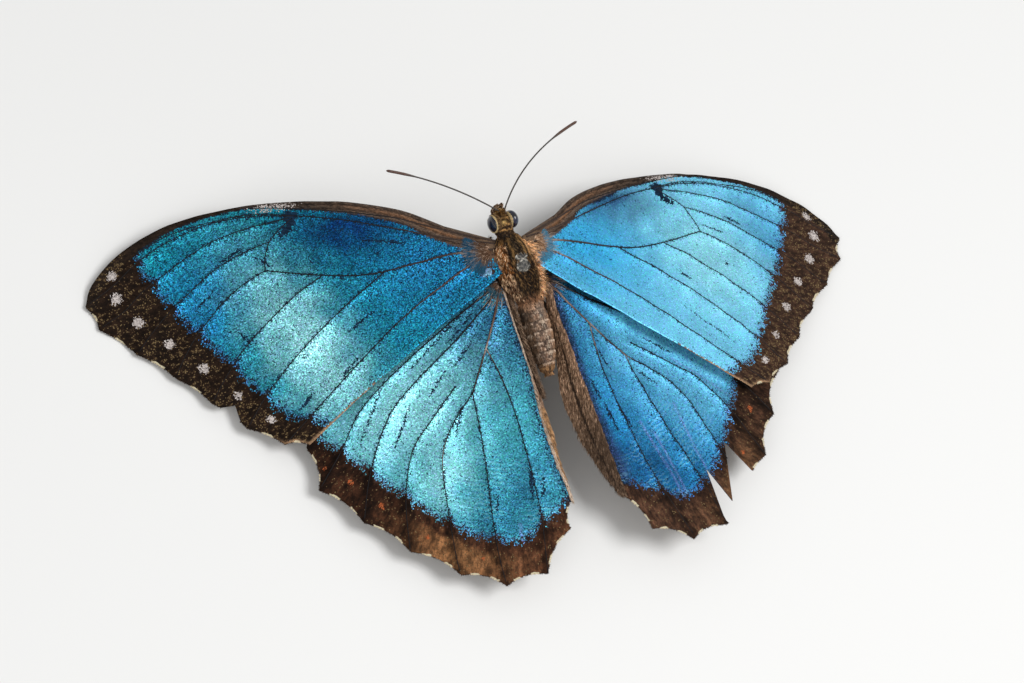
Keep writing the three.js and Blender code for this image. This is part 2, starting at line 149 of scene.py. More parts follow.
def to_line(points, line):
    """Distance from each point to a line of points, the length along it, and its signed side."""
    line = np.asarray(line, float)
    lengths = np.linalg.norm(np.diff(line, axis=0), axis=1)
    starts = np.concatenate([[0], np.cumsum(lengths)])
    best = np.full(len(points), np.inf)
    place = np.zeros(len(points))
    side = np.zeros(len(points))
    for a, b, length, start in zip(line[:-1], line[1:], lengths, starts):
        run = (b - a) / length
        offset = points - a
        part = np.clip(offset @ run, 0, length)
        gap = np.linalg.norm(offset - part[:, None] * run, axis=1)
        nearer = gap < best
        best[nearer] = gap[nearer]
        place[nearer] = (start + part)[nearer]
        side[nearer] = (run[0] * offset[:, 1] - run[1] * offset[:, 0])[nearer]
    return best, place, np.where(side < 0, -best, best)


def inside(points, outline):
    """Which points lie inside a closed outline."""
    outline = np.asarray(outline, float)
    result = np.zeros(len(points), bool)
    for (x0, y0), (x1, y1) in zip(outline, np.roll(outline, -1, axis=0)):
        if y0 == y1:
            continue
        crosses = (points[:, 1] < y0) != (points[:, 1] < y1)
        reach = x0 + (points[:, 1] - y0) / (y1 - y0) * (x1 - x0)
        result ^= crosses & (points[:, 0] < reach)
    return result


def soft_noise(points, size, seed):
    """Smooth noise between -1 and 1 with features of about the given size: a sum of plane waves."""
    rng = np.random.default_rng(seed)
    total = np.zeros(len(points))
    waves = 18
    for _ in range(waves):
        direction = rng.normal(size=points.shape[1])
        direction *= rng.uniform(0.7, 1.5) * 2 * math.pi / size / np.linalg.norm(direction)
        total += np.sin(points @ direction + rng.uniform(0, 2 * math.pi))
    return np.clip(total / math.sqrt(waves) / 1.4, -1, 1)


# ---------------------------------------------------------------- wings: flat shape
FOREWING = {
    "front": [(6.2, 4.7), (12, 8.4), (21, 11.3), (33, 12.4), (44, 11.2), (52, 7.7), (56.6, 3.4)],
    "vein_ends": [
        (58, 0.2), (56.7, -3.4), (52.1, -7.8), (47.5, -11.9), (43.1, -16.4), (38.9, -20.8),
        (34.2, -23.9), (30.8, -24.4),
    ],
    "scallop": 0.45,
    "hinge": [(-1.8, 0.6), (-1.4, -3.4)],
    "inner": [(22.6, -18.6), (16.1, -14.4), (9.7, -10.2)],
}
HINDWING = {
    "front": [(9.5, -5.7), (14.5, -12.3), (18.2, -20.5), (19.6, -26.7)],
    "vein_ends": [
        (18.5, -32.6), (14.9, -38), (7.6, -40.4), (0.3, -42.2), (-7.4, -43), (-13.9, -42.3),
    ],
    "scallop": 0.8,
    "hinge": [(-1.5, 1.2)],
}
HINDWING_CORNERS = {
    -1: [(-18.8, -38.6), (-19.9, -31.2), (-18.7, -27.6)],
    1: [(-19.4, -39.2), (-22.2, -33.4), (-20.7, -27.7)],
}
CREASE_START = {-1: np.array([0.6, -1.0]), 1: np.array([1.6, -1.85])}
FOLD_ANGLE = {-1: math.radians(104), 1: math.radians(62)}
PRESSED_ANGLE = math.radians(92)
FOLD_RADIUS = 1.1
FOLD_WIDTH = 3.4
FOLD_ROOT_WIDTH = 1.6
FOLD_OPENING = {-1: (0.4, 0.7), 1: (0.33, 0.52)}
FOLD_NARROWING = {-1: (0.5, 0.78), 1: (1, 1.1)}

FOREWING_BOW = (0.00133, 0.00055, -0.00005)
HINDWING_BOW = (-0.00094, -0.00134, 0.00233)
WINGS = {
    "forewing_left": {"side": -1, "kind": "fore", "root": (3.2, 2, 2), "turn": (10.3, 1.4, 18.4)},
    "forewing_right": {"side": 1, "kind": "fore", "root": (3.2, 2, 2), "turn": (-4.2, -1.3, 18.1)},
    "hindwing_left": {"side": -1, "kind": "hind", "root": (3, -2.5, 0.25), "turn": (38.9, 9.2, 17.5)},
    "hindwing_right": {"side": 1, "kind": "hind", "root": (3, -2.5, 0.45), "turn": (40.7, 8.1, 16.4)},
}
TEARS = {
    "forewing_left": [[(43.2, -17.2), (40, -17), (39.6, -20.2), (45, -24)]],
    "hindwing_right": [
        [(-3.1, -41.6), (-1.9, -36), (-9.7, -41.4), (-11, -47), (-3.8, -47)],
        [(-9.7, -41.4), (-7.8, -35.7), (-13.5, -41.6), (-14.2, -47), (-10.9, -47)],
    ],
}
SHEET = 0.13                # thickness of the membrane with its scales
GRID = 0.33                 # spacing of the wing mesh


def margin_line(vein_ends, scallop, steps=9):
    """The outer margin, dipping in between neighbouring vein ends as a half sine wave."""
    points = []
    for start, end in zip(vein_ends[:-1], vein_ends[1:]):
        start, run = np.array(start, float), np.subtract(end, start)
        length = np.linalg.norm(run)
        depth = min(scallop, length * 0.12)
        for part in np.linspace(0, 1, steps, endpoint=False):
            dip = depth * math.sin(math.pi * part)
            points.append(start + run * part + np.array([run[1], -run[0]]) / length * dip)
    return np.array([*points, vein_ends[-1]], float)


def crease_frame(side):
    end = np.array(HINDWING_CORNERS[side][-1], float)
    run = end - CREASE_START[side]
    length = np.linalg.norm(run)
    return run, length, np.array([run[1], -run[0]]) / length


def fold_width(part, side):
    swell = FOLD_WIDTH * np.clip(np.sin(math.pi * part**1.15), 0, 1) ** 0.8
    narrow = 1 - smooth_step(part, *FOLD_NARROWING[side])
    return np.maximum(FOLD_ROOT_WIDTH * (1 - part) + swell * narrow, 0.5)


def fold_edge(side, steps=40):
    """The free inner edge of the hindwing's fold, from the crease's end back to its start."""
    run, _, inward = crease_frame(side)
    part = np.linspace(1, 0, steps)
    return CREASE_START[side] + run * part[:, None] + inward * fold_width(part, side)[:, None]


def beyond_crease(points, side):
    _, _, inward = crease_frame(side)
    return (points - CREASE_START[side]) @ inward


def hair_start(points, side):
    """How far past the crease the blue ends and the brown hair of the fold begins."""
    run, length, _ = crease_frame(side)
    part = (points - CREASE_START[side]) @ run / length**2
    if side < 0:
        return 0.85 - 0.8 * smooth_step(part, 0.35, 0.62) + 0.3 * smooth_step(part, 0.8, 0.95)
    return 1.1 - 1.3 * np.clip(part, 0, 1)


def wing_shape(name):
    """The outline's named stretches, in order around the wing."""
    wing = WINGS[name]
    flat = FOREWING if wing["kind"] == "fore" else HINDWING
    ends = list(flat["vein_ends"])
    if wing["kind"] == "hind":
        ends += HINDWING_CORNERS[wing["side"]]
    front = smooth_curve([*flat["front"], ends[0]], 0.6)[:-1]
    margin = margin_line(ends, flat["scallop"])
    if wing["kind"] == "hind":
        hinge_rear = CREASE_START[wing["side"]]
        inner = fold_edge(wing["side"])
    else:
        hinge_rear = flat["hinge"][1]
        inner = smooth_curve([ends[-1], *flat["inner"], hinge_rear], 1.0)[1:-1]
    return {
        "front": np.vstack([[flat["hinge"][0]], front]),
        "margin": margin,
        "inner": inner,
        "hinge": np.array([hinge_rear], float),
        "vein_ends": np.array(ends, float),
    }


def outline_of(shape):
    return np.vstack([shape["front"], shape["margin"], shape["inner"], shape["hinge"]])


# ---------------------------------------------------------------- wings: veins
FOREWING_VEINS = {
    "subcosta": [(-1, 0.8), (6, 3.9), (13, 7.2), (21, 9.6), (28.5, 11.2), (33, 11.9)],
    "radius": [(-1, 0.5), (6.5, 2.9), (13.5, 5.7), (20.5, 8.2), (26.5, 9.7), (34, 10.9), (44, 9.6), (50, 7)],
    "radial_branch": [(27.2, 9.8), (33, 10.6), (39.4, 10.2), (46, 8), (50.6, 5.3), (54, 2.6), (58, 0.2)],
    "upper_branch": [(27.6, 9.6), (34, 8.8), (40, 7.1), (48.5, 2.3), (53, -1.3), (56.7, -3.4)],
    "first_median": [(31, 6.4), (35, 5.2), (39.4, 3.2), (46.1, -1.7), (49.6, -5), (52.1, -7.8)],
    "cell_end": [(27.2, 9.5), (29.3, 8), (31, 6.4), (32, 4.2), (32.4, 2.1)],
    "cell_floor": [(-0.5, -0.2), (6, 0.2), (15.9, -0.7), (20, -0.6), (24.7, 0.2), (32.4, 2.1)],
    "third_median": [(32.4, 2.1), (35.5, 0.6), (39, -1.8), (43.3, -6), (45.6, -9), (47.5, -11.9)],
    "front_cubital": [(24.7, 0.1), (29, -2.4), (36.1, -8), (40, -12.2), (43.1, -16.4)],
    "rear_cubital": [(15.9, -0.8), (22, -4.8), (29.2, -10.4), (35, -15.9), (38.9, -20.8)],
    "anal": [(-0.6, -0.8), (2.7, -1.5), (7.5, -3.9), (15, -8.4), (23, -14.6), (30.2, -20.6), (34.2, -23.9)],
}
HINDWING_VEINS = {
    "subcosta": [(0.4, 0.2), (5.5, -4.6), (11.4, -11.6), (16, -19.6), (17.8, -27), (18.5, -32.6)],
    "radial": [(0.5, -0.6), (5, -8), (9.6, -16.5), (13, -24.5), (13.8, -31.5), (14.9, -38)],
    "first_median": [(0.2, -1.6), (3.4, -10), (7.2, -18.4), (9.1, -24.5), (9, -33), (7.6, -40.4)],
    "second_median": [(1.6, -17), (3.2, -22.6), (4.4, -28), (3.2, -35), (0.3, -42.2)],
    "third_median": [(-1, -17.1), (0.2, -22), (0.2, -27.4), (-2.4, -33.6), (-5.9, -40.6), (-7.4, -43)],
    "cubital_stem": [(0, -1.2), (-0.5, -5.4), (-0.8, -10.2), (-0.9, -13.8), (-1, -17.1)],
    "front_cubital": [
        (-1, -17.1), (-3.4, -21.5), (-5.4, -25.4), (-10, -35.5), (-12.2, -39.6), (-13.9, -42.3),
    ],
    "rear_cubital": [(-0.8, -10.2), (-3.1, -12.4), (-6.1, -15.9), (-9.4, -20.6), (-15, -30), (-18.8, -38.6)],
}
FOREWING_BROWN = ("subcosta", "radius", "cell_floor", "anal")
HINDWING_BROWN = ("cubital_stem", "rear_cubital", "third_median")


def veins_of(name):
    table = FOREWING_VEINS if WINGS[name]["kind"] == "fore" else HINDWING_VEINS
    return {vein: smooth_curve(points, 0.6) for vein, points in table.items()}


def vein_distances(points, name):
    """Distance to the nearest vein and to the next one."""
    found = np.array([to_line(points, line)[0] for line in veins_of(name).values()])
    found.sort(axis=0)
    return found[0], found[1]


# ---------------------------------------------------------------- wings: pose
PLEAT = 0.085               # depth of the valley between two veins, as a share of their distance
# Dents and swellings of the worn left hindwing and of the others: (out, ahead, radius, height).
SWELLINGS = {
    "forewing_left": [(30, -8, 7, 0.25), (20, 4, 5, -0.15), (38, 2, 5, 0.15)],
    "forewing_right": [(26, -8, 8, 0.25), (30, 5, 5, 0.12), (42, 0, 6, -0.15)],
    "hindwing_left": [(0.5, -28.6, 2.2, 0.35), (-3.8, -27, 2.6, -0.3), (6, -27, 3, -0.2), (10, -30, 3, 0.2)],
    "hindwing_right": [(-2, -26, 3.5, 0.25), (5, -24, 3, -0.15), (-12, -31, 3, 0.15)],
}


def relief(points, name):
    """How far the sheet rises above its smooth shape: valleys between the veins and soft dents."""
    near, next_near = vein_distances(points, name)
    spread = near + next_near
    valley = 1 - (1 - 2 * near / np.maximum(spread, 1e-6)) ** 2
    height = -PLEAT * np.minimum(spread, 5) * valley
    for out, ahead, radius, rise in SWELLINGS[name]:
        height += rise * bell(distance(points, (out, ahead)), radius)
    height += 0.08 * soft_noise(points, 6, SEED + len(name))
    return height * smooth_step(np.linalg.norm(points, axis=1), 1, 7)


def fold_down(points, side):
    """Bends what lies beyond the crease downwards: the new flat places and how far they drop."""
    run, length, inward = crease_frame(side)
    beyond = beyond_crease(points, side)
    part = (points - CREASE_START[side]) @ run / length**2
    free = smooth_step(part, *FOLD_OPENING[side])
    angle = PRESSED_ANGLE + (FOLD_ANGLE[side] - PRESSED_ANGLE) * free
    past = np.maximum(beyond, 0)
    bent = np.minimum(past / FOLD_RADIUS, angle)
    straight = past - bent * FOLD_RADIUS
    level = FOLD_RADIUS * np.sin(bent) + straight * np.cos(bent)
    drop = FOLD_RADIUS * (1 - np.cos(bent)) + straight * np.sin(bent)
    return points + inward * (level - past)[:, None], drop


def wing_point(name, points, lift=0.0):
    """Where flat places of a wing lie in the frame, in millimetres."""
    points = np.asarray(points, float)
    wing = WINGS[name]
    rise = relief(points, name) + lift
    flat, drop = (points, 0) if wing["kind"] == "fore" else fold_down(points, wing["side"])
    bow = FOREWING_BOW if wing["kind"] == "fore" else HINDWING_BOW
    a, b = flat[:, 0], flat[:, 1]
    height = bow[0] * a * a + bow[1] * a * b + bow[2] * b * b - drop + rise
    sweep, pitch, droop = [math.radians(angle) for angle in wing["turn"]]
    result = turned(turned(turned(columns(a, b, height), 2, sweep), 0, pitch), 1, droop)
    result += wing["root"]
    result[:, 0] *= wing["side"]
    return result + SHIFT


# ---------------------------------------------------------------- mesh helpers
def placed(name, data):
    """An object in the scene that shows the data."""
    piece = bpy.data.objects.new(name, data)
    bpy.context.scene.collection.objects.link(piece)
    return piece


def make_object(name, points, faces, material, smooth=True):
    """A mesh object from points in millimetres."""
    mesh = bpy.data.meshes.new(name)
    mesh.from_pydata((np.asarray(points) * MM).tolist(), [], [tuple(face) for face in faces])
    mesh.update()
    mesh.polygons.foreach_set("use_smooth", [smooth] * len(mesh.polygons))
    for one in material if isinstance(material, (list, tuple)) else [material]:
        mesh.materials.append(one)
    return placed(name, mesh)


def finish_piece(piece, nodes=()):
    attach(piece, "root")
    if nodes:
        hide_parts(*nodes)
    return piece


def set_float(mesh, name, values):
    layer = mesh.attributes.new(name, "FLOAT", "POINT")
    layer.data.foreach_set("value", np.asarray(values, np.float32).ravel())


def set_colour(mesh, name, values):
    colours = np.ones((len(values), 4), np.float32)
    colours[:, :3] = values
    layer = mesh.attributes.new(name, "FLOAT_COLOR", "POINT")
    layer.data.foreach_set("color", colours.ravel())


def set_uv(mesh, name, corners):
    layer = mesh.uv_layers.new(name=name)
    layer.data.foreach_set("uv", np.asarray(corners, np.float32).ravel())


def loop_points(mesh):
    found = np.empty(len(mesh.loops), np.int32)
    mesh.loops.foreach_get("vertex_index", found)
    return found


def face_normals_at_points(points, triangles):
    normals = np.zeros_like(points)
    a, b, c = (points[triangles[:, corner]] for corner in range(3))
    flat = np.cross(b - a, c - a)
    for corner in range(3):
        np.add.at(normals, triangles[:, corner], flat)
    return normals / np.maximum(np.linalg.norm(normals, axis=1, keepdims=True), 1e-12)


def rim_distance(points, outline):
    return to_line(points, np.vstack([outline, outline[:1]]))[0]


def triangulate(outline, holes, spacing, seed):
    """Triangles that fill a flat outline less its holes, on a jittered grid of the given spacing."""
    rng = np.random.default_rng(seed)
    low, high = outline.min(0), outline.max(0)
    rows = np.arange(low[1], high[1], spacing * 0.866)
    columns = np.arange(low[0], high[0], spacing)
    x, y = np.meshgrid(columns, rows)
    x[1::2] += spacing / 2
    grid = np.c_[x.ravel(), y.ravel()] + rng.uniform(-0.2, 0.2, (x.size, 2)) * spacing
    loops = [outline, *[np.array(hole, float) for hole in holes]]
    keep = inside(grid, outline)
    for loop in loops:
        keep &= rim_distance(grid, loop) > spacing * 0.45
    points = [grid[keep]]
    edges = []
    start = len(points[0])
    for loop in loops:
        points.append(loop)
        edges += [(start + i, start + (i + 1) % len(loop)) for i in range(len(loop))]
        start += len(loop)
    stacked = np.vstack(points).tolist()
    found = geometry.delaunay_2d_cdt(stacked, edges, [], 0, 1e-6)
    flat = np.array([tuple(point) for point in found[0]])
    triangles = np.array(found[2])
    middles = flat[triangles].mean(axis=1)
    wanted = inside(middles, outline)
    for hole in holes:
        wanted &= ~inside(middles, hole)
    triangles = triangles[wanted]
    a, b, c = (flat[triangles[:, corner]] for corner in range(3))
    turn = (b[:, 0] - a[:, 0]) * (c[:, 1] - a[:, 1]) - (b[:, 1] - a[:, 1]) * (c[:, 0] - a[:, 0])
    triangles[turn < 0] = triangles[turn < 0][:, ::-1]
    used, inverse = np.unique(triangles, return_inverse=True)
    return flat[used], inverse.reshape(-1, 3)


def rim_edges(triangles):
    """Directed edges that only one triangle has."""
    edges = np.vstack([triangles[:, [0, 1]], triangles[:, [1, 2]], triangles[:, [2, 0]]])
    ordered = np.sort(edges, axis=1)
    _, index, count = np.unique(ordered, axis=0, return_index=True, return_counts=True)
    return edges[index[count == 1]]


def ring_faces(rows, sides):
    """Four-cornered faces between rows of points, each row a closed ring."""
    faces = []
    for row in range(rows - 1):
        for side in range(sides):
            a, b = row * sides + side, row * sides + (side + 1) % sides
            faces.append((a, b, b + sides, a + sides))
    return faces


def capped_faces(rows, sides):
    """The faces of a closed tube: its rings, and a lid on each end."""
    last = (rows - 1) * sides
    return [*ring_faces(rows, sides), tuple(range(sides))[::-1], tuple(range(last, last + sides))]


def tube(points, radii, sides=8):
    """Points and faces of a closed tube along a line."""
    points = np.asarray(points, float)
    along = unit(np.gradient(points, axis=0))
    across = np.zeros_like(along)
    across[0] = unit(np.cross(along[0], (0.1, 0.2, 1)))
    for index in range(1, len(points)):
        across[index] = unit(across[index - 1] - along[index] * (across[index - 1] @ along[index]))
    angle = np.arange(sides) * 2 * math.pi / sides
    over = np.cross(along, across)
    ring = across[:, None] * np.cos(angle)[None, :, None] + over[:, None] * np.sin(angle)[None, :, None]
    body = (points[:, None] + ring * np.asarray(radii, float)[:, None, None]).reshape(-1, 3)
    return body, capped_faces(len(points), sides)


class Heap:
    """Collects the points, faces and colours of several tubes for one mesh."""

    def __init__(self):
        self.points, self.faces, self.colours, self.count = [], [], [], 0

    def add_tube(self, line, radii, sides, colour):
        """Adds a tube with one colour, or with one for each point of its line."""
        points, faces = tube(line, radii, sides)
        colour = np.asarray(colour, float)
        if colour.ndim == 2:
            colour = np.repeat(colour, sides, axis=0)
        self.points.append(points)
        self.faces += [tuple(self.count + index for index in face) for face in faces]
        self.colours.append(np.broadcast_to(colour, (len(points), 3)))
        self.count += len(points)

    def finish(self, name, material, nodes=()):
        piece = make_object(name, np.vstack(self.points), self.faces, material)
        set_colour(piece.data, "Colour", np.vstack(self.colours))
        finish_piece(piece, nodes)


# ---------------------------------------------------------------- tufts
# A tuft is a three-sided root, a three-sided middle and a tip: seven points, darker at the root.
TUFT_CORNERS = ((-1.0, -0.25), (1.0, -0.25), (0.0, 0.55))
TUFT_FACES = np.array([
    (0, 2, 1), (0, 1, 4), (0, 4, 3), (1, 2, 5), (1, 5, 4), (2, 0, 3), (2, 3, 5), (3, 4, 6),
    (4, 5, 6), (5, 3, 6),
])
TUFT_SHADES = np.array([0.55, 0.55, 0.6, 0.95, 0.95, 1.0, 1.2])
TUFT_POINTS = len(TUFT_SHADES)
# Where a tuft's points lie on its own small patch of the unwrap, and the size of that patch.
TUFT_PLACES = np.array([(0, 0), (1, 0), (0.5, 0.2), (0.1, 0.6), (0.9, 0.6), (0.5, 0.7), (0.5, 1)])
TUFT_PATCH = 0.003


def make_tufts(name, roots, lie, normals, lengths, widths, lift, bend, colours, patches, material):
    """Closed tapered tufts as one mesh: each leaves its root along lie, raised by lift, and bends
    back towards the skin. patches are the places of the roots on the skin's unwrap (0 to 1)."""
    lie = unit(lie - normals * np.sum(lie * normals, axis=1, keepdims=True))
    across = np.cross(normals, lie)
    lengths, widths, lift, bend = (
        np.broadcast_to(value, len(roots))[:, None] for value in (lengths, widths, lift, bend)
    )
    first = lie * np.cos(lift) + normals * np.sin(lift)
    second = lie * np.cos(lift - bend) + normals * np.sin(lift - bend)
    middle = roots + first * lengths * 0.5
    tip = middle + second * lengths * 0.5
    rings = []
    for centre, share in ((roots - normals * widths * 0.3, 1.0), (middle, 0.8)):
        for sideways, up in TUFT_CORNERS:
            rings.append(centre + (across * 0.5 * sideways + normals * up) * widths * share)
    points = np.stack([*rings, tip], axis=1)
    count = len(roots)
    faces = (np.arange(count)[:, None, None] * TUFT_POINTS + TUFT_FACES[None]).reshape(-1, 3)
    mesh = bpy.data.meshes.new(name)
    mesh.vertices.add(count * TUFT_POINTS)
    mesh.vertices.foreach_set("co", (points.reshape(-1, 3) * MM).astype(np.float32).ravel())
    mesh.loops.add(len(faces) * 3)
    mesh.loops.foreach_set("vertex_index", faces.ravel().astype(np.int32))
    mesh.polygons.add(len(faces))
    mesh.polygons.foreach_set("loop_start", (np.arange(len(faces)) * 3).astype(np.int32))
    mesh.update(calc_edges=True)
    mesh.polygons.foreach_set("use_smooth", [True] * len(faces))
    set_colour(mesh, "Colour", (colours[:, None] * TUFT_SHADES[None, :, None]).reshape(-1, 3))
    spots = (patches[:, None] + (TUFT_PLACES[None] - 0.5) * TUFT_PATCH).reshape(-1, 2)
    set_uv(mesh, "OFBake", np.clip(spots, 0, 1)[faces.ravel()])
    mesh.materials.append(material)
    return placed(name, mesh)


def body_tufts(name, roots, lie, normals, lengths, widths, lift, bend, colours, patches):
    """Tufts whose roots and directions are given on the body's own axis."""
    piece = make_tufts(
        name, body_point(roots), body_direction(lie), body_direction(normals), lengths, widths, lift, bend,
        colours, patches, BODY_HAIR,
    )
    finish_piece(piece)


def around_line(line, index, turn, reference):
    """The way a line runs at some of its points, and directions at a turn about it."""
    run = unit(np.gradient(line, axis=0)[index])
    across = unit(np.cross(run, reference))
    return run, across * np.cos(turn)[:, None] + np.cross(run, across) * np.sin(turn)[:, None]


def three_tones(pick, low, high, dark, middle, pale):
    return np.where(pick < low, dark, np.where(pick > high, pale, middle))


def clumped_pick(rng, count, noise):
    """Numbers from 0 to 1 that choose each tuft's colour, partly alike in neighbours."""
    return (rng.random(count) * 0.6 + (0.5 + 0.5 * noise) * 0.4)[:, None]


# ---------------------------------------------------------------- materials
class Nodes:
    """Short names for building a material's node tree."""

    def __init__(self, name):
        self.material = bpy.data.materials.new(name)
        self.material.use_nodes = True
        self.tree = self.material.node_tree
        self.shader = self.tree.nodes["Principled BSDF"]

    def new(self, kind, **settings):
        node = self.tree.nodes.new(kind)
        for key, value in settings.items():
            setattr(node, key, value)
        return node

    def put(self, socket, value):
        if isinstance(value, bpy.types.NodeSocket):
            self.tree.links.new(value, socket)
        elif value is not None:
            socket.default_value = value

    def math(self, operation, a, b=None):
        node = self.new("ShaderNodeMath", operation=operation)
        self.put(node.inputs[0], a)
        self.put(node.inputs[1], b)
        return node.outputs[0]

    def add(self, a, b):
        return self.math("ADD", a, b)

    def times(self, a, b):
        return self.math("MULTIPLY", a, b)

    def swing(self, value, amount):
        """How far a value between 0 and 1 lies from its middle, times an amount."""
        return self.times(self.math("SUBTRACT", value, 0.5), amount)

    def vector_math(self, operation, a, b=None, scale=None):
        node = self.new("ShaderNodeVectorMath", operation=operation)
        self.put(node.inputs[0], a)
        self.put(node.inputs[1], b)
        if scale is not None:
            self.put(node.inputs["Scale"], scale)
        return node.outputs[0]

    def attribute(self, name, colour=False):
        node = self.new("ShaderNodeAttribute", attribute_name=name)
        return node.outputs["Color" if colour else "Fac"]

    def mix(self, factor, a, b, blend="MIX"):
        node = self.new("ShaderNodeMix", data_type="RGBA", blend_type=blend)
        self.put(node.inputs["Factor"], factor)
        self.put(node.inputs[6], (*a, 1) if isinstance(a, tuple) and len(a) == 3 else a)
        self.put(node.inputs[7], (*b, 1) if isinstance(b, tuple) and len(b) == 3 else b)
        return node.outputs[2]

    def tinted(self, colour, factors):
        return self.mix(1.0, colour, factors, "MULTIPLY")

    def grey(self, value):
        node = self.new("ShaderNodeCombineXYZ")
        for socket in node.inputs:
            self.put(socket, value)
        return node.outputs[0]

    def flat_map(self):
        """The place on the flat wing, as the Flat map holds it."""
        return self.new("ShaderNodeUVMap", uv_map="Flat").outputs[0]

    def object_place(self):
        return self.new("ShaderNodeTexCoord").outputs["Object"]

    def flaky_colour(self, place, grain, scale, dark, light):
        """The mesh's colour, uneven by small flakes and grain; and the distance to a flake's middle."""
        flakes, gap = self.cells(place, scale, "3D")
        first, _, _ = self.separate(flakes)
        tint = self.mix(self.add(self.times(first, 0.5), self.times(grain, 0.5)), dark, light)
        return self.tinted(self.attribute("Colour", colour=True), tint), gap

    def map_range(self, value, low, high, to_low=0.0, to_high=1.0):
        node = self.new("ShaderNodeMapRange", clamp=True)
        for socket, number in zip(node.inputs, (value, low, high, to_low, to_high)):
            self.put(socket, number)
        return node.outputs[0]

    def noise(self, vector, scale, detail=3.0, roughness=0.55, dimensions="3D"):
        node = self.new("ShaderNodeTexNoise", noise_dimensions=dimensions)
        self.put(node.inputs["Vector"], vector)
        node.inputs["Scale"].default_value = scale
        node.inputs["Detail"].default_value = detail
        node.inputs["Roughness"].default_value = roughness
        return node.outputs["Fac"]

    def cells(self, vector, scale, dimensions="2D"):
        """A random colour and the distance to the cell's middle for cells of size 1 / scale."""
        node = self.new("ShaderNodeTexVoronoi", voronoi_dimensions=dimensions)
        self.put(node.inputs["Vector"], vector)
        node.inputs["Scale"].default_value = scale
        return node.outputs["Color"], node.outputs["Distance"]

    def separate(self, colour):
        node = self.new("ShaderNodeSeparateColor")
        self.put(node.inputs[0], colour)
        return node.outputs[0], node.outputs[1], node.outputs[2]

    def bump(self, height, distance, strength=1.0, normal=None):
        node = self.new("ShaderNodeBump")
        node.inputs["Strength"].default_value = strength
        node.inputs["Distance"].default_value = distance
        self.put(node.inputs["Height"], height)
        self.put(node.inputs["Normal"], normal)
        return node.outputs[0]

    def tilted(self, random_colour, amount):
        """The surface normal, turned a little at random in each cell."""
        centred = self.vector_math("SUBTRACT", random_colour, (0.5, 0.5, 0.5))
        offset = self.vector_math("SCALE", centred, scale=amount)
        normal = self.new("ShaderNodeNewGeometry").outputs["Normal"]
        return self.vector_math("NORMALIZE", self.vector_math("ADD", normal, offset))

    def set(self, **sockets):
        """Sets inputs of the shader, with an underscore for each space in their names."""
        for name, value in sockets.items():
            self.put(self.shader.inputs[name.replace("_", " ")], value)
        return self.material


SCALE_SIZE = 0.14           # a wing scale, in millimetres
UV_MM = 0.01                # units of the Flat map for each millimetre of wing


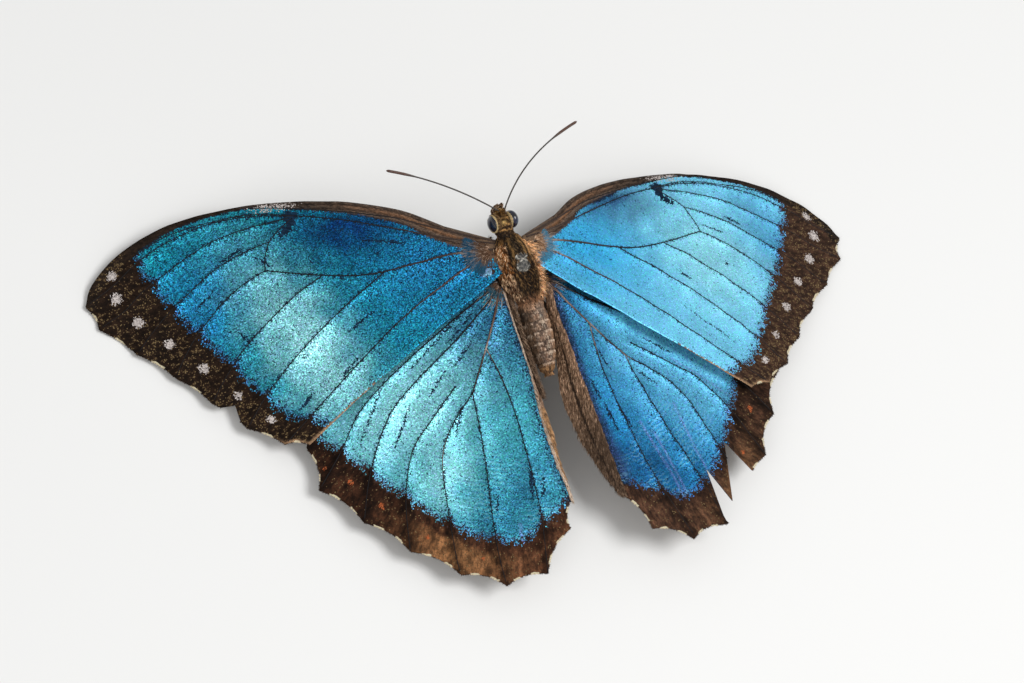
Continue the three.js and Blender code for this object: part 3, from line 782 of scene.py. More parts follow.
def scaled_wing_material():
    """The blue upper side: each cell is one scale, with its own shade, and areas differ in how many
    scales are blue, brown, gold or white."""
    n = Nodes("wing_scales_upper")
    flat = n.flat_map()
    random_colour, _ = n.cells(flat, 1 / (SCALE_SIZE * UV_MM))
    first, second, third = n.separate(random_colour)
    clumps = n.noise(flat, 1 / (0.9 * UV_MM), 4, 0.6, "2D")
    patches = n.noise(flat, 1 / (4.5 * UV_MM), 3, 0.5, "2D")
    streaks = n.noise(n.attribute("Streaks", colour=True), 1.0, 3, 0.6)
    paint = n.attribute("Paint", colour=True)
    grain = n.attribute("Grain")
    cover = n.add(n.attribute("Cover"), n.swing(clumps, 0.42))
    is_blue = n.math("LESS_THAN", second, cover)

    # The blue scales: uneven, some greener and some bluer, a few with painted glints, and faint cross ripples
    # that are bumped and also painted in light and dark bands as painted highlight and shade.
    uneven = n.math("SUBTRACT", n.times(n.math("POWER", first, 1.5), 0.9), 0.36)
    shade = n.add(1.0, n.times(grain, uneven))
    shade = n.times(shade, n.add(0.72, n.times(patches, 0.56)))
    blue = n.mix(third, n.tinted(paint, (0.55, 1.12, 0.92)), n.tinted(paint, (0.8, 0.84, 1.2)))
    painted_glint = n.times(n.math("GREATER_THAN", first, 0.94), 0.2)
    blue = n.mix(painted_glint, blue, n.tinted(blue, (3.0, 2.2, 1.9)))
    blue = n.tinted(blue, n.grey(shade))
    row = n.math("SINE", n.add(n.attribute("Rows"), n.times(clumps, 11.0)))
    ripple = n.times(n.attribute("Ripple"), n.times(row, n.map_range(patches, 0.42, 0.62, 0.03, 0.34)))
    ripple_light_and_shade = n.mix(n.math("GREATER_THAN", ripple, 0), (0.01, 0.12, 0.28), (0.3, 0.66, 0.78))
    blue = n.mix(n.math("ABSOLUTE", ripple), blue, ripple_light_and_shade)

    # What shows between the blue scales, and instead of them.
    dark = n.attribute("Ground", colour=True)
    dark = n.mix(n.times(first, 0.7), dark, n.tinted(dark, (2.2, 2.0, 1.7)))
    softer = n.math("SUBTRACT", 1.0, n.times(grain, 0.6))
    dark = n.mix(n.times(n.map_range(cover, 0.45, 0.85), softer), dark, n.tinted(paint, (0.2, 0.3, 0.36)))
    dimmer = n.tinted(dark, (0.5, 0.5, 0.5))
    brighter = n.tinted(dark, (1.6, 1.5, 1.4))
    dark = n.mix(n.map_range(streaks, 0.36, 0.66), dimmer, brighter)
    colour = n.mix(is_blue, dark, blue)

    # Single scales of gold, orange and white, and the solid cream marks.
    gold_part = n.times(n.attribute("Gold"), n.map_range(streaks, 0.44, 0.66, 0.05, 1.9))
    gold = n.mix(first, (0.2, 0.14, 0.065), (0.07, 0.042, 0.02))
    colour = n.mix(n.math("LESS_THAN", third, gold_part), colour, gold)
    orange_part = n.add(n.attribute("Orange"), n.swing(second, 0.9))
    orange = n.mix(first, (0.45, 0.1, 0.03), (0.26, 0.08, 0.03))
    colour = n.mix(n.math("GREATER_THAN", orange_part, 0.25), colour, orange)
    white_part = n.add(n.add(n.attribute("White"), n.swing(second, 0.8)), n.swing(streaks, 1.0))
    white = n.mix(first, (0.62, 0.56, 0.53), (0.24, 0.21, 0.2))
    colour = n.mix(n.math("GREATER_THAN", white_part, 0.2), colour, white)
    cream_part = n.add(n.attribute("Cream"), n.swing(clumps, 0.8))
    cream = n.mix(first, (0.66, 0.6, 0.42), (0.5, 0.44, 0.3))
    colour = n.mix(n.map_range(cream_part, 0.0, 0.25), colour, cream)

    # The hairy ground of the inner folds.
    bare = n.attribute("Hairy")
    hair = n.noise(n.attribute("Comb", colour=True), 1.0, 2, 0.6)
    brown = n.mix(n.map_range(hair, 0.3, 0.7), (0.045, 0.026, 0.014), (0.15, 0.092, 0.058))
    is_hairy = n.map_range(n.add(bare, n.swing(second, 0.5)), 0.42, 0.58)
    colour = n.mix(is_hairy, colour, brown)

    plain = n.times(n.math("SUBTRACT", 1.0, is_hairy), is_blue)
    roughness = n.math("SUBTRACT", 0.78, n.times(plain, n.add(0.3, n.times(third, 0.14))))
    height = n.add(n.times(first, 0.5), n.times(ripple, 1.6))
    height = n.add(height, n.times(n.times(hair, bare), 1.5))
    normal = n.bump(height, 0.00004, 0.7, n.tilted(random_colour, 0.16))
    return n.set(
        Base_Color=colour, Roughness=roughness, Metallic=n.times(plain, 0.42), Normal=normal,
        Specular_IOR_Level=0.08,
    )


def underside_material():
    n = Nodes("wing_scales_under")
    flat = n.flat_map()
    random_colour, _ = n.cells(flat, 1 / (SCALE_SIZE * UV_MM))
    first, second, third = n.separate(random_colour)
    streaks = n.noise(flat, 1 / (0.7 * UV_MM), 5, 0.65, "2D")
    paint = n.attribute("Under", colour=True)
    dark = n.tinted(paint, (0.5, 0.48, 0.46))
    light = n.tinted(paint, (1.4, 1.38, 1.35))
    colour = n.mix(n.add(n.times(first, 0.6), n.times(streaks, 0.4)), dark, light)
    colour = n.mix(n.math("LESS_THAN", third, 0.06), colour, (0.38, 0.3, 0.2))
    normal = n.bump(second, 0.00003, 0.8, n.tilted(random_colour, 0.2))
    return n.set(Base_Color=colour, Roughness=0.72, Normal=normal)


def vein_material():
    n = Nodes("veins")
    grain = n.noise(n.object_place(), 9000, 4, 0.6)
    colour = n.mix(n.map_range(grain, 0.35, 0.7), n.attribute("Colour", colour=True), (0.006, 0.005, 0.006))
    roughness = n.map_range(grain, 0.3, 0.7, 0.38, 0.62)
    return n.set(
        Base_Color=colour, Roughness=roughness, Normal=n.bump(grain, 0.00003), Specular_IOR_Level=0.2,
    )


def hair_material(name, roughness=0.6, sheen=0.05):
    """Tufts of hair and scales. Their colour comes with the mesh and varies along each tuft."""
    n = Nodes(name)
    grain = n.noise(n.object_place(), 6000, 3, 0.6)
    tint = n.mix(n.map_range(grain, 0.3, 0.7), (0.72, 0.7, 0.68), (1.3, 1.28, 1.25))
    return n.set(
        Base_Color=n.tinted(n.attribute("Colour", colour=True), tint), Roughness=roughness,
        Normal=n.bump(grain, 0.00003), Specular_IOR_Level=0.12, Sheen_Weight=sheen, Sheen_Roughness=0.4,
    )


def skin_material():
    """The body's skin: the tufts' own colours over short lying scales, and a bare, shiny patch with painted
    highlights on its rims.
    """
    n = Nodes("body_skin")
    place = n.object_place()
    grain = n.noise(place, 5200, 5, 0.65)
    colour, gap = n.flaky_colour(place, grain, 4200, (0.45, 0.43, 0.4), (1.35, 1.32, 1.28))
    bald = n.attribute("Bald")
    cracks = n.noise(place, 3400, 4, 0.7)
    bare = n.mix(n.map_range(cracks, 0.45, 0.6), (0.006, 0.0055, 0.005), (0.1, 0.09, 0.075))
    # The plates' rims are painted pale: painted highlight.
    rim = n.times(n.attribute("RimHighlight"), n.map_range(cracks, 0.42, 0.56))
    colour = n.mix(bald, colour, n.mix(rim, bare, (0.6, 0.56, 0.48)))
    roughness = n.math("SUBTRACT", 0.72, n.times(bald, 0.42))
    height = n.add(n.times(grain, 0.6), n.times(gap, 0.4))
    height = n.add(height, n.times(n.times(cracks, bald), 1.2))
    return n.set(Base_Color=colour, Roughness=roughness, Normal=n.bump(height, 0.00008))


def eye_material():
    """A black compound eye: fine facets under a clear gloss, with a dull blue and violet shimmer painted into
    its colour in bands as painted reflection.
    """
    n = Nodes("compound_eye")
    place = n.object_place()
    _, gap = n.cells(place, 15000, "3D")
    bands = n.noise(place, 900, 2, 0.5)
    # Painted reflection: bands of dull blue and violet in the black.
    colour = n.mix(n.map_range(bands, 0.42, 0.66), (0.002, 0.002, 0.004), (0.006, 0.008, 0.03))
    return n.set(
        Base_Color=colour, Roughness=0.22, Normal=n.bump(gap, 0.000012, 0.35), Coat_Weight=0.6,
        Coat_Roughness=0.08,
    )


def limb_material(name, roughness=0.5):
    n = Nodes(name)
    place = n.object_place()
    grain = n.noise(place, 4200, 4, 0.6)
    colour, gap = n.flaky_colour(place, grain, 7000, (0.45, 0.44, 0.42), (1.5, 1.42, 1.35))
    return n.set(Base_Color=colour, Roughness=roughness, Normal=n.bump(gap, 0.00004, 0.7))


UPPER = scaled_wing_material()
UNDER = underside_material()
VEIN = vein_material()
BODY_HAIR = hair_material("body_hair")
WING_HAIR = hair_material("wing_hair", 0.55, 0.03)
SKIN = skin_material()
EYE = eye_material()
LEG = limb_material("leg_scales")
ANTENNA = limb_material("antenna_scales", 0.4)

# ---------------------------------------------------------------- wings: markings
# The blues of the upper side, shared by all four wings; the palest of them is the colour of painted sheen
# highlights.
WING_COLOURS = {
    "ink": (0.002, 0.02, 0.1), "navy": (0.01, 0.1, 0.2), "blue": (0.02, 0.2, 0.4), "azure": (0.04, 0.4, 0.7),
    "teal": (0.01, 0.2, 0.25), "sea": (0.08, 0.35, 0.4), "sky": (0.25, 0.6, 0.8), "painted_sheen": (0.5, 0.8, 0.8),
}
# Each wing's own blue, then its broad patches: colour, middle, half sizes, turn in degrees, strength. The
# left wings' greener blue and the right wings' lighter, bluer one are one blue as lit from one side, painted
# in as painted light, and the palest patches are painted sheen.
WING_BLUES_AND_SHEEN = {
    "forewing_left": ("teal", [
        ("blue", (7, 0), (14, 12), 0, 0.9), ("ink", (20, 7), (10, 5), 0, 0.95),
        ("blue", (43, -3), (6, 10), 20, 0.8), ("painted_sheen", (28, -11), (5, 13), -25, 0.85),
    ]),
    "forewing_right": ("sky", [
        ("azure", (10, 0), (18, 10), 0, 0.9), ("ink", (18, 8), (9, 4), 0, 0.9),
        ("painted_sheen", (32, -2), (10, 10), 0, 0.6), ("blue", (47, -2), (5, 14), 20, 0.6),
    ]),
    "hindwing_left": ("sea", [
        ("navy", (0, -7), (10, 11), 0, 0.9), ("painted_sheen", (7, -23), (7, 11), 30, 0.7),
        ("navy", (-12, -30), (5, 14), 20, 0.7), ("painted_sheen", (-1, -30), (3, 6), 0, 0.6),
    ]),
    "hindwing_right": ("blue", [
        ("navy", (0, -6), (9, 9), 0, 0.8), ("sky", (2, -20), (8, 10), 0, 0.6),
        ("ink", (-14, -28), (4, 10), 20, 0.6), ("sky", (5, -31), (8, 6), 0, 0.5),
    ]),
}
# The share of blue scales, and how much the shades of neighbouring scales differ.
WING_COVER = {"forewing_left": 0.9, "forewing_right": 0.98, "hindwing_left": 0.93, "hindwing_right": 0.94}
WING_GRAIN = {"forewing_left": 1.15, "forewing_right": 0.45, "hindwing_left": 0.85, "hindwing_right": 0.8}

# Where the blue ends and the dark border begins.
BORDER_LINES = {
    "fore": [(46.5, 12.5), (50.8, 8), (47, -1), (41, -9.5), (34, -19), (26, -23)],
    "hind": [(19, -30.5), (12, -32.5), (4, -35), (-6, -37), (-14, -35.5), (-18.5, -28)],
}
# Spots: out, ahead and radius. The eyespots are on the underside.
WHITE_SPOTS = [
    (53.7, 4.4, 0.8), (53.6, 0.9, 0.95), (51.2, -2.9, 0.9), (47.4, -6.7, 0.85), (43.4, -11, 0.8),
    (39.3, -15.6, 0.7), (35.4, -19.8, 0.65),
]
ORANGE_SPOTS = [
    (15.2, -34.6, 0.35), (11.2, -35.3, 0.5), (6, -37.2, 0.5), (-1.4, -39.3, 0.4), (-9.6, -39.6, 0.3),
]
EYESPOTS = {
    "fore": [(46.5, 2.6, 2.0), (42.3, -4.8, 1.5), (35.2, -12.6, 2.1)],
    "hind": [(12.4, -24.5, 2.4), (1.6, -32.4, 1.3), (-5, -33, 1.9), (-11.6, -32.4, 1.7)],
}
# Short dark dashes of missing scales along the folds between the veins: start, end, half width.
WORN_LINES = {
    "forewing_left": [
        ((18.5, -6.2), (22.5, -8.8), 0.25), ((12, 3.2), (18, 4.8), 0.3), ((38, -5.5), (36, -9), 0.12),
        ((33.5, 4.5), (31.4, 2.6), 0.12), ((34.8, 6.1), (38.4, 4.3), 0.28),
        ((26, 3.4), (25.4, 2.2), 0.12), ((22, -13), (24.5, -15.4), 0.16), ((29, -17), (31, -19), 0.3),
        ((40, 0.2), (43, -2.4), 0.14),
    ],
    "forewing_right": [
        ((25.5, -4.6), (27.4, -5.9), 0.3), ((33, 3.6), (37, 2.1), 0.16), ((38.2, 4.8), (41, 3.4), 0.4),
        ((20.5, -3.8), (21.2, -4.3), 0.2), ((35, -3), (35.6, -3.6), 0.3), ((13, 6.6), (20, 9.2), 0.5),
        ((24, -10.5), (31, -16.6), 0.1),
    ],
    "hindwing_left": [
        ((2.3, -5), (4.6, -11.5), 0.12), ((4.2, -7), (8.4, -16.6), 0.14),
        ((1.2, -8.5), (2.6, -14), 0.14), ((-0.2, -19.5), (-0.6, -24), 0.14),
        ((-11.8, -24.6), (-13.6, -29), 0.3), ((6.8, -22), (6.9, -29), 0.15),
        ((11.4, -21), (11.6, -30), 0.12), ((-14.2, -25.6), (-15, -28.4), 0.22),
        ((-8.6, -29), (-9.6, -33), 0.12), ((3.6, -15), (4.6, -19.5), 0.16),
    ],
    "hindwing_right": [
        ((-8.4, -14.8), (-10, -17.4), 0.3), ((-10.4, -18.4), (-12.4, -22), 0.3),
        ((-3.2, -12.4), (-4.6, -16.5), 0.16), ((-9, -20), (-10.6, -23.4), 0.2),
        ((2.5, -8), (6, -14.4), 0.12), ((-1.6, -20), (-1.2, -23.5), 0.2), ((4, -18), (5.4, -23), 0.14),
        ((9, -19), (11.6, -26.4), 0.14),
    ],
}
# Mauve lines where the hindwings are creased: start and end.
MAUVE_LINES = {
    "hindwing_left": [((-13, -33), (-14.8, -36.5))],
    "hindwing_right": [
        ((-8.5, -24.2), (-14.2, -35)), ((-8.4, -26.6), (-13.5, -35.2)), ((-2.1, -26.9), (-7.7, -35.6)),
        ((4.6, -23.6), (5.6, -33)),
    ],
}
BLOTCH_LINE = ((27.4, 9.9), (27.9, 8.2), (29.6, 6.9))       # the dark mark at the cell's front corner
# Slate lobes by the root: out, ahead and half sizes.
ROOT_LOBES = {"forewing_left": (1.6, -3.3, 1.1, 0.8)}
# Where the forewing's rear edge lies over the right hindwing; the blue beside it is painted lighter, painted
# light against the shade the forewing casts.
PAINTED_LIGHT_EDGE = ((1.8, -8), (5.1, -17.4), (6.3, -24), (8.1, -30.7))
# The striped front edge: its width at places from the root out, then its grey, dark and orange.
COSTAL_WIDTHS = ([0, 5, 12, 20, 27, 31, 36, 44, 50], [2.6, 2.5, 2.2, 1.9, 1.3, 0.55, 0.6, 1.1, 1.6])
COSTAL_COLOURS = ((0.08, 0.062, 0.052), (0.022, 0.014, 0.011), (0.17, 0.085, 0.042))
PLAIN_BORDER_BROWN = (0.03, 0.017, 0.012)
BORDER_BROWN = {"forewing_left": (0.01, 0.0058, 0.0038)}
# The share of gold scales in the dark border.
GOLD_SHARE = {"forewing_left": 0.19, "forewing_right": 0.22, "hindwing_left": 0.05, "hindwing_right": 0.05}
# How strongly each hindwing's inner edge is dusky, and its border tan, reddish and darker outside.
HINDWING_WEAR = {
    -1: {"dusk": 0.4, "tan": 0.85, "reddish": 0.4, "outer_dark": 0.6},
    1: {"dusk": 0.85, "tan": 0.25, "reddish": 0.12, "outer_dark": 0.35},
}
# The brown streaks fan out from the root, and have this width at this distance.
STREAK_WIDTH = 0.5
STREAKS_REACH = 42
FRINGE_SPACING = 0.06
VEIN_RADII = ([0, 8, 20, 40, 58], [0.14, 0.11, 0.08, 0.065, 0.05])      # at distances from the root
# The underside's bands: distance from the root or the margin, width and colour.
ROOT_BANDS = ((9, 0.7, (0.24, 0.19, 0.12)), (17, 0.6, (0.26, 0.2, 0.13)), (24, 0.5, (0.03, 0.016, 0.01)))
MARGIN_BANDS = (
    (1.1, 0.35, (0.3, 0.23, 0.14)), (2.2, 0.4, (0.14, 0.06, 0.03)), (3.4, 0.45, (0.26, 0.2, 0.13)),
)
EYESPOT_RINGS = (
    (1.25, (0.28, 0.22, 0.15)), (1.0, (0.02, 0.012, 0.008)), (0.8, (0.5, 0.3, 0.06)),
    (0.55, (0.008, 0.008, 0.012)), (0.2, (0.7, 0.72, 0.75)),
)


def blended_blue(points, name):
    """The wing's own blue with its patches laid over it, the palest of them painted sheen, their edges bent
    by soft noise.
    """
    own, glows = WING_BLUES_AND_SHEEN[name]
    shifted = points + 1.2 * columns(soft_noise(points, 5, 5), soft_noise(points, 5, 6))
    colour = repeated(len(points), *WING_COLOURS[own])
    for shade, middle, half_sizes, turn, strength in glows:
        gap = turned(np.c_[shifted - middle, np.zeros(len(points))], 2, -math.radians(turn))[:, :2]
        far = np.linalg.norm(gap / half_sizes, axis=1)
        colour = blend(colour, WING_COLOURS[shade], strength * bell(far, 1))
    return colour


def spot_field(points, spots):
    """1 in the middle of a spot, 0 on its edge, negative outside."""
    result = np.full(len(points), -1.0)
    for out, ahead, radius in spots:
        result = np.maximum(result, 1 - distance(points, (out, ahead)) / radius)
    return result


def worn_field(points, name):
    """1 on the dark dashes of missing scales, which taper towards both ends."""
    result = np.zeros(len(points))
    for start, end, half_width in WORN_LINES[name]:
        gap, place, _ = to_line(points, (start, end))
        length = math.dist(start, end)
        taper = np.clip(np.minimum(place, length - place) / (0.25 * length), 0.25, 1)
        half = 0.65 * half_width * taper
        result = np.maximum(result, 1 - smooth_step(gap, 0.3 * half, 1.4 * half + 0.12))
    return result


def cream_field(points, name, shape):
    """Pale marks on the margin: one in each dip of the forewing, two in each of the hindwing."""
    gap, place, _ = to_line(points, shape["margin"])
    ends = to_line(shape["vein_ends"], shape["margin"])[1]
    fore = WINGS[name]["kind"] == "fore"
    result = np.full(len(points), -1.0)
    rng = np.random.default_rng(SEED + 3)
    for start, end in zip(ends[:-1], ends[1:]):
        length = end - start
        for share in (0.5,) if fore else (0.29, 0.71):
            half = (0.19 if fore else 0.115) * length * rng.uniform(0.75, 1.1)
            deep = rng.uniform(0.18, 0.28)
            along = np.abs(place - start - share * length) / half
            result = np.maximum(result, 1 - np.maximum(along, gap / deep) ** 1.5)
    return result


def upper_marks(points, name, shape):
    """All the values that the upper side's material reads, by name."""
    kind = WINGS[name]["kind"]
    near, _ = vein_distances(points, name)
    reach = np.linalg.norm(points, axis=1)
    streak_turn = np.arctan2(points[:, 1], points[:, 0]) * STREAKS_REACH / STREAK_WIDTH
    wander = 0.4 * soft_noise(points, 1.6, 31) + 0.34 * soft_noise(columns(streak_turn, reach / 2), 1, 33)
    # How far inside the dark border a place lies; the border reaches further in along the veins.
    depth = to_line(points, smooth_curve(BORDER_LINES[kind], 0.5))[2] + wander + 0.75 * bell(near, 0.55)

    cover = WING_COVER[name] - 0.16 * (1 - smooth_step(reach, 3, 16))
    cover = cover - 0.55 * bell(near, 0.22) - 0.95 * worn_field(points, name)
    cover = cover * (1 - 0.5 * smooth_step(depth, -2.2, 0.5)) * (1 - smooth_step(depth, -1.3, 1.0))
    cover -= smooth_step(depth, 0.3, 1.2)
    ground = repeated(len(points), 0.004, 0.014, 0.035)
    ground = blend(ground, BORDER_BROWN.get(name, PLAIN_BORDER_BROWN), smooth_step(depth, -1.4, 0.2))
    paint = blend(blended_blue(points, name), (0.07, 0.1, 0.32), bell(depth + 0.2, 0.7) * 0.5)
    for start, end in MAUVE_LINES.get(name, []):
        paint = blend(paint, (0.24, 0.25, 0.56), bell(to_line(points, (start, end))[0], 0.16) * 0.7)
    gold = smooth_step(depth, 0.2, 1.6) * GOLD_SHARE[name] * (1 - 0.7 * bell(near, 0.5))

    marks = {
        "Paint": paint, "Ground": ground, "Cover": cover, "Gold": gold, "White": np.full(len(points), -1.0),
        "Orange": np.full(len(points), -1.0), "Cream": cream_field(points, name, shape),
        "Hairy": np.zeros(len(points)), "Rows": reach * 2 * math.pi / 0.68,
        "Streaks": columns(streak_turn, reach / 1.1, near * 0.3),
        "Comb": columns(points[:, 0] * 4.5, points[:, 1] * 4.5, reach * 0.6),
    }
    if kind == "fore":
        forewing_marks(points, name, shape, marks, reach, wander)
        rear = smooth_step(-points[:, 1], 9, 16) * 0.3
    else:
        hindwing_marks(points, name, marks, reach, wander, depth, near)
        rear = smooth_step(-points[:, 1], 22, 27)
    # Where the faint cross ripples lie; the material bumps them and paints their painted highlight and shade.
    marks["Ripple"] = rear * (1 - smooth_step(depth, -0.6, 0.2)) * 0.7
    marks["Grain"] = WING_GRAIN[name] * (1 + 0.5 * (1 - smooth_step(marks["Paint"][:, 1], 0.15, 0.35)))
    return marks


def forewing_marks(points, name, shape, marks, reach, wander):
    """Adds the striped front edge, the cell's dark mark, the hairy root and the white spots."""
    paint, ground, cover = marks["Paint"], marks["Ground"], marks["Cover"]
    out = points[:, 0]
    front_gap = to_line(points, shape["front"])[0]
    band = np.interp(out, *COSTAL_WIDTHS)
    in_band = smooth_step(band - front_gap + 0.15 * wander, -0.15, 0.2)
    cover = cover * (1 - in_band) - in_band * 0.3
    grey, dark, orange = COSTAL_COLOURS
    stripes = 0.5 + 0.5 * np.sin(front_gap * 2 * math.pi / 0.75 + 0.4)
    edge_tone = blend(repeated(len(points), *dark), grey, stripes)
    edge_tone = edge_tone * (1 - 0.5 * smooth_step(out, 14, 26))[:, None]
    warm = bell(front_gap - 0.45 * band, 0.22) * (1 - smooth_step(out, 12, 24))
    edge_tone = blend(edge_tone, orange, 0.6 * warm)
    edge_tone = blend(edge_tone, (0.012, 0.008, 0.006), smooth_step(out, 31, 36))
    ground = blend(ground, edge_tone, in_band)

    blotch_gap, blotch_place, _ = to_line(points, BLOTCH_LINE)
    blotch = 1 - blotch_gap / (1.15 - 0.22 * blotch_place) + 0.3 * soft_noise(points, 1.2, 44)
    cover -= smooth_step(blotch, 0, 0.45) * 0.95
    root = 1 - smooth_step(reach + wander, 1.2, 3.4)
    ground = blend(ground, (0.1, 0.07, 0.05), root)
    cover -= 0.5 * root

    if name in ROOT_LOBES:
        *middle, half_width, half_length = ROOT_LOBES[name]
        lobe = 1 - np.linalg.norm((points - middle) / (half_width, half_length), axis=1) + 0.1 * wander
        edge, core = smooth_step(lobe, -0.1, 0.05), smooth_step(lobe, 0.16, 0.3)
        ground = blend(ground, (0.03, 0.017, 0.011), edge)
        paint = blend(paint, (0.3, 0.36, 0.54), core)
        cover = cover * (1 - edge) + 0.95 * core

    near_corner = smooth_step(-points[:, 1], 14, 20) * (1 - smooth_step(out, 33, 36))
    tan_rim = 0.85 * near_corner * np.exp(-((rim_distance(points, outline_of(shape)) / 0.26) ** 4))
    marks["Ground"] = blend(ground, (0.3, 0.2, 0.13), tan_rim)
    marks["Cover"] = cover - 1.2 * tan_rim
    marks["Paint"] = paint
    pale = 0.55 - 0.55 * np.linalg.norm((points - (29.6, 11.6)) / (2.9, 0.6), axis=1) + 0.2 * wander
    marks["White"] = np.maximum(spot_field(points, WHITE_SPOTS), pale)


def hindwing_marks(points, name, marks, reach, wander, depth, near):
    """Adds the hairy fold, the dusk beside it, the root, the uneven border, its orange spots and, on the
    right, painted light along the forewing's edge.
    """
    side = WINGS[name]["side"]
    worn = HINDWING_WEAR[side]
    paint, ground, cover = marks["Paint"], marks["Ground"], marks["Cover"]
    if side > 0:
        # On the right the blue is painted up to 2.5 times lighter along the forewing's rear edge: painted
        # light against its shade.
        paint = paint * (1 + 1.5 * bell(to_line(points, PAINTED_LIGHT_EDGE)[0], 2.0))[:, None]
    past_hair = beyond_crease(points, side) - hair_start(points, side) + 0.15 * wander
    wide = 1.8 + 1.5 * smooth_step(reach, 20, 32) * (side > 0)
    dusk = smooth_step(past_hair / wide, -1, -0.1) * worn["dusk"]
    cover = cover - 0.45 * smooth_step(past_hair, -1.5, -0.1)
    root = 1 - smooth_step(reach + wander, 1.5, 4.0)
    ground = blend(ground, (0.07, 0.045, 0.03), root)
    tan = bell(points[:, 0] + 6, 7) * smooth_step(depth, 1.0, 2.4) * worn["tan"]
    ground = blend(ground, (0.17, 0.095, 0.045), tan)
    ground = blend(ground, (0.06, 0.02, 0.008), smooth_step(depth, -0.2, 0.6) * worn["reddish"])
    uneven = (0.42 + 0.75 * smooth_step(near, 0.2, 1.7)) * (1 + 0.45 * soft_noise(points, 2.4, 45))
    uneven *= 0.65 + 0.5 * smooth_step(depth, 0.8, 2.6)
    uneven *= 1 - worn["outer_dark"] * smooth_step(points[:, 0], -5, 6)
    marks["Ground"] = ground * (1 + (uneven - 1) * smooth_step(depth, -0.5, 0.6))[:, None]
    marks["Paint"] = blend(paint, (0.035, 0.028, 0.085), dusk)
    marks["Cover"] = cover
    marks["Hairy"] = smooth_step(past_hair, -0.15, 0.2)
    marks["Orange"] = spot_field(points, ORANGE_SPOTS)


def under_colour(points, name, shape):
    """The brown underside with its pale bands and ringed eyespots."""
    reach = np.linalg.norm(points, axis=1) + 0.8 * soft_noise(points, 7, 61)
    margin_gap = to_line(points, shape["margin"])[0]
    colour = repeated(len(points), 0.085, 0.046, 0.024)
    for measure, bands in ((reach, ROOT_BANDS), (margin_gap, MARGIN_BANDS)):
        for middle, width, shade in bands:
            colour = blend(colour, shade, bell(measure - middle, width))
    for out, ahead, radius in EYESPOTS[WINGS[name]["kind"]]:
        gap = distance(points, (out, ahead)) / radius
        for edge, shade in EYESPOT_RINGS:
            colour = blend(colour, shade, 1 - smooth_step(gap, edge - 0.06, edge + 0.06))
    near, _ = vein_distances(points, name)
    return blend(colour, (0.2, 0.14, 0.08), bell(near, 0.25) * 0.5)


def wing_sheet(name):
    """The thin membrane of a wing, with the upper and the lower side's markings."""
    shape = wing_shape(name)
    outline = outline_of(shape)
    flat, triangles = triangulate(outline, TEARS.get(name, []), GRID, SEED)
    middle = wing_point(name, flat)
    if WINGS[name]["side"] < 0:
        triangles = triangles[:, ::-1]
    normals = face_normals_at_points(middle, triangles)
    half = SHEET / 2 * (0.45 + 0.55 * smooth_step(rim_distance(flat, outline), 0, 0.8))[:, None]
    points = np.vstack([middle + normals * half, middle - normals * half])
    count = len(flat)
    under = triangles[:, ::-1] + count
    edges = rim_edges(triangles)
    rim = columns(edges[:, 1], edges[:, 0], edges[:, 0] + count, edges[:, 1] + count)
    faces = [*triangles.tolist(), *under.tolist(), *rim.tolist()]
    piece = make_object(f"{name}_sheet", points, faces, [UPPER, UNDER])
    mesh = piece.data
    kinds = np.array([0] * len(triangles) + [1] * len(under) + [0] * len(rim), np.int32)
    mesh.polygons.foreach_set("material_index", kinds)
    marks = upper_marks(flat, name, shape)
    marks["Under"] = under_colour(flat, name, shape)
    for label, values in marks.items():
        setter = set_colour if values.ndim == 2 else set_float
        setter(mesh, label, np.concatenate([values, values]))
    corners = loop_points(mesh)
    doubled = np.concatenate([flat, flat])
    set_uv(mesh, "Flat", doubled[corners] * UV_MM)
    # Both sides lie one above the other on the unwrap, each in its own half.
    spread = (doubled - flat.min(0)) / float(np.ptp(flat, axis=0).max()) * 0.48
    spread[count:, 1] += 0.5
    set_uv(mesh, "OFBake", spread[corners] + 0.005)
    finish_piece(piece, [name])
    return shape


# Pale stretches of the veins, painted highlights: place, size, strength.
VEIN_HIGHLIGHT_SPOTS = {
    "forewing_left": [(4, 0, 1.2, 0.5), (3, -1.6, 1.2, 0.5)],
    "forewing_right": [(4.5, 0.1, 1.4, 0.6), (4.2, -2.3, 1.2, 0.6)],
    "hindwing_left": [
        (-0.8, -10.2, 0.9, 1.0), (-0.7, -7.5, 1.5, 0.25), (0.2, -27.4, 2.2, 0.4), (-10, -27, 1.2, 0.5),
    ],
    "hindwing_right": [
        (-0.5, -5.4, 1.6, 0.5), (-0.8, -11, 1.4, 0.6), (-1, -17.1, 1.0, 0.5), (-3.1, -12.4, 0.8, 0.4),
    ],
}


def vein_tubes(name):
    """Raised veins, dark or brown, thick at the root and fine at the margin, with painted highlights in
    places.
    """
    heap = Heap()
    brown = FOREWING_BROWN if WINGS[name]["kind"] == "fore" else HINDWING_BROWN
    outline = outline_of(wing_shape(name))
    for vein, line in veins_of(name).items():
        keep = inside(line, outline)
        for hole in TEARS.get(name, []):
            keep &= ~inside(line, hole)
        breaks = np.flatnonzero(~keep)
        breaks = breaks[breaks > 3]
        line = line[:breaks[0]] if len(breaks) else line
        reach = np.linalg.norm(line, axis=1)
        radius = np.interp(reach, *VEIN_RADII)
        if vein in ("cell_floor", "cubital_stem"):
            radius = radius * 1.25
        warm = (0.15, 0.075, 0.045) if vein in ("anal", "cubital_stem") else (0.07, 0.042, 0.03)
        part = (1 - smooth_step(reach, 7, 20)) * (vein in brown)
        colour = blend(repeated(len(line), 0.004, 0.004, 0.006), warm, part)
        # Painted highlights on the veins.
        for out, ahead, size, strength in VEIN_HIGHLIGHT_SPOTS[name]:
            colour = blend(colour, (0.62, 0.5, 0.44), bell(distance(line, (out, ahead)), size) * strength)
        heap.add_tube(wing_point(name, line, 0.03), radius, 6, colour)
    heap.finish(f"{name}_veins", VEIN)


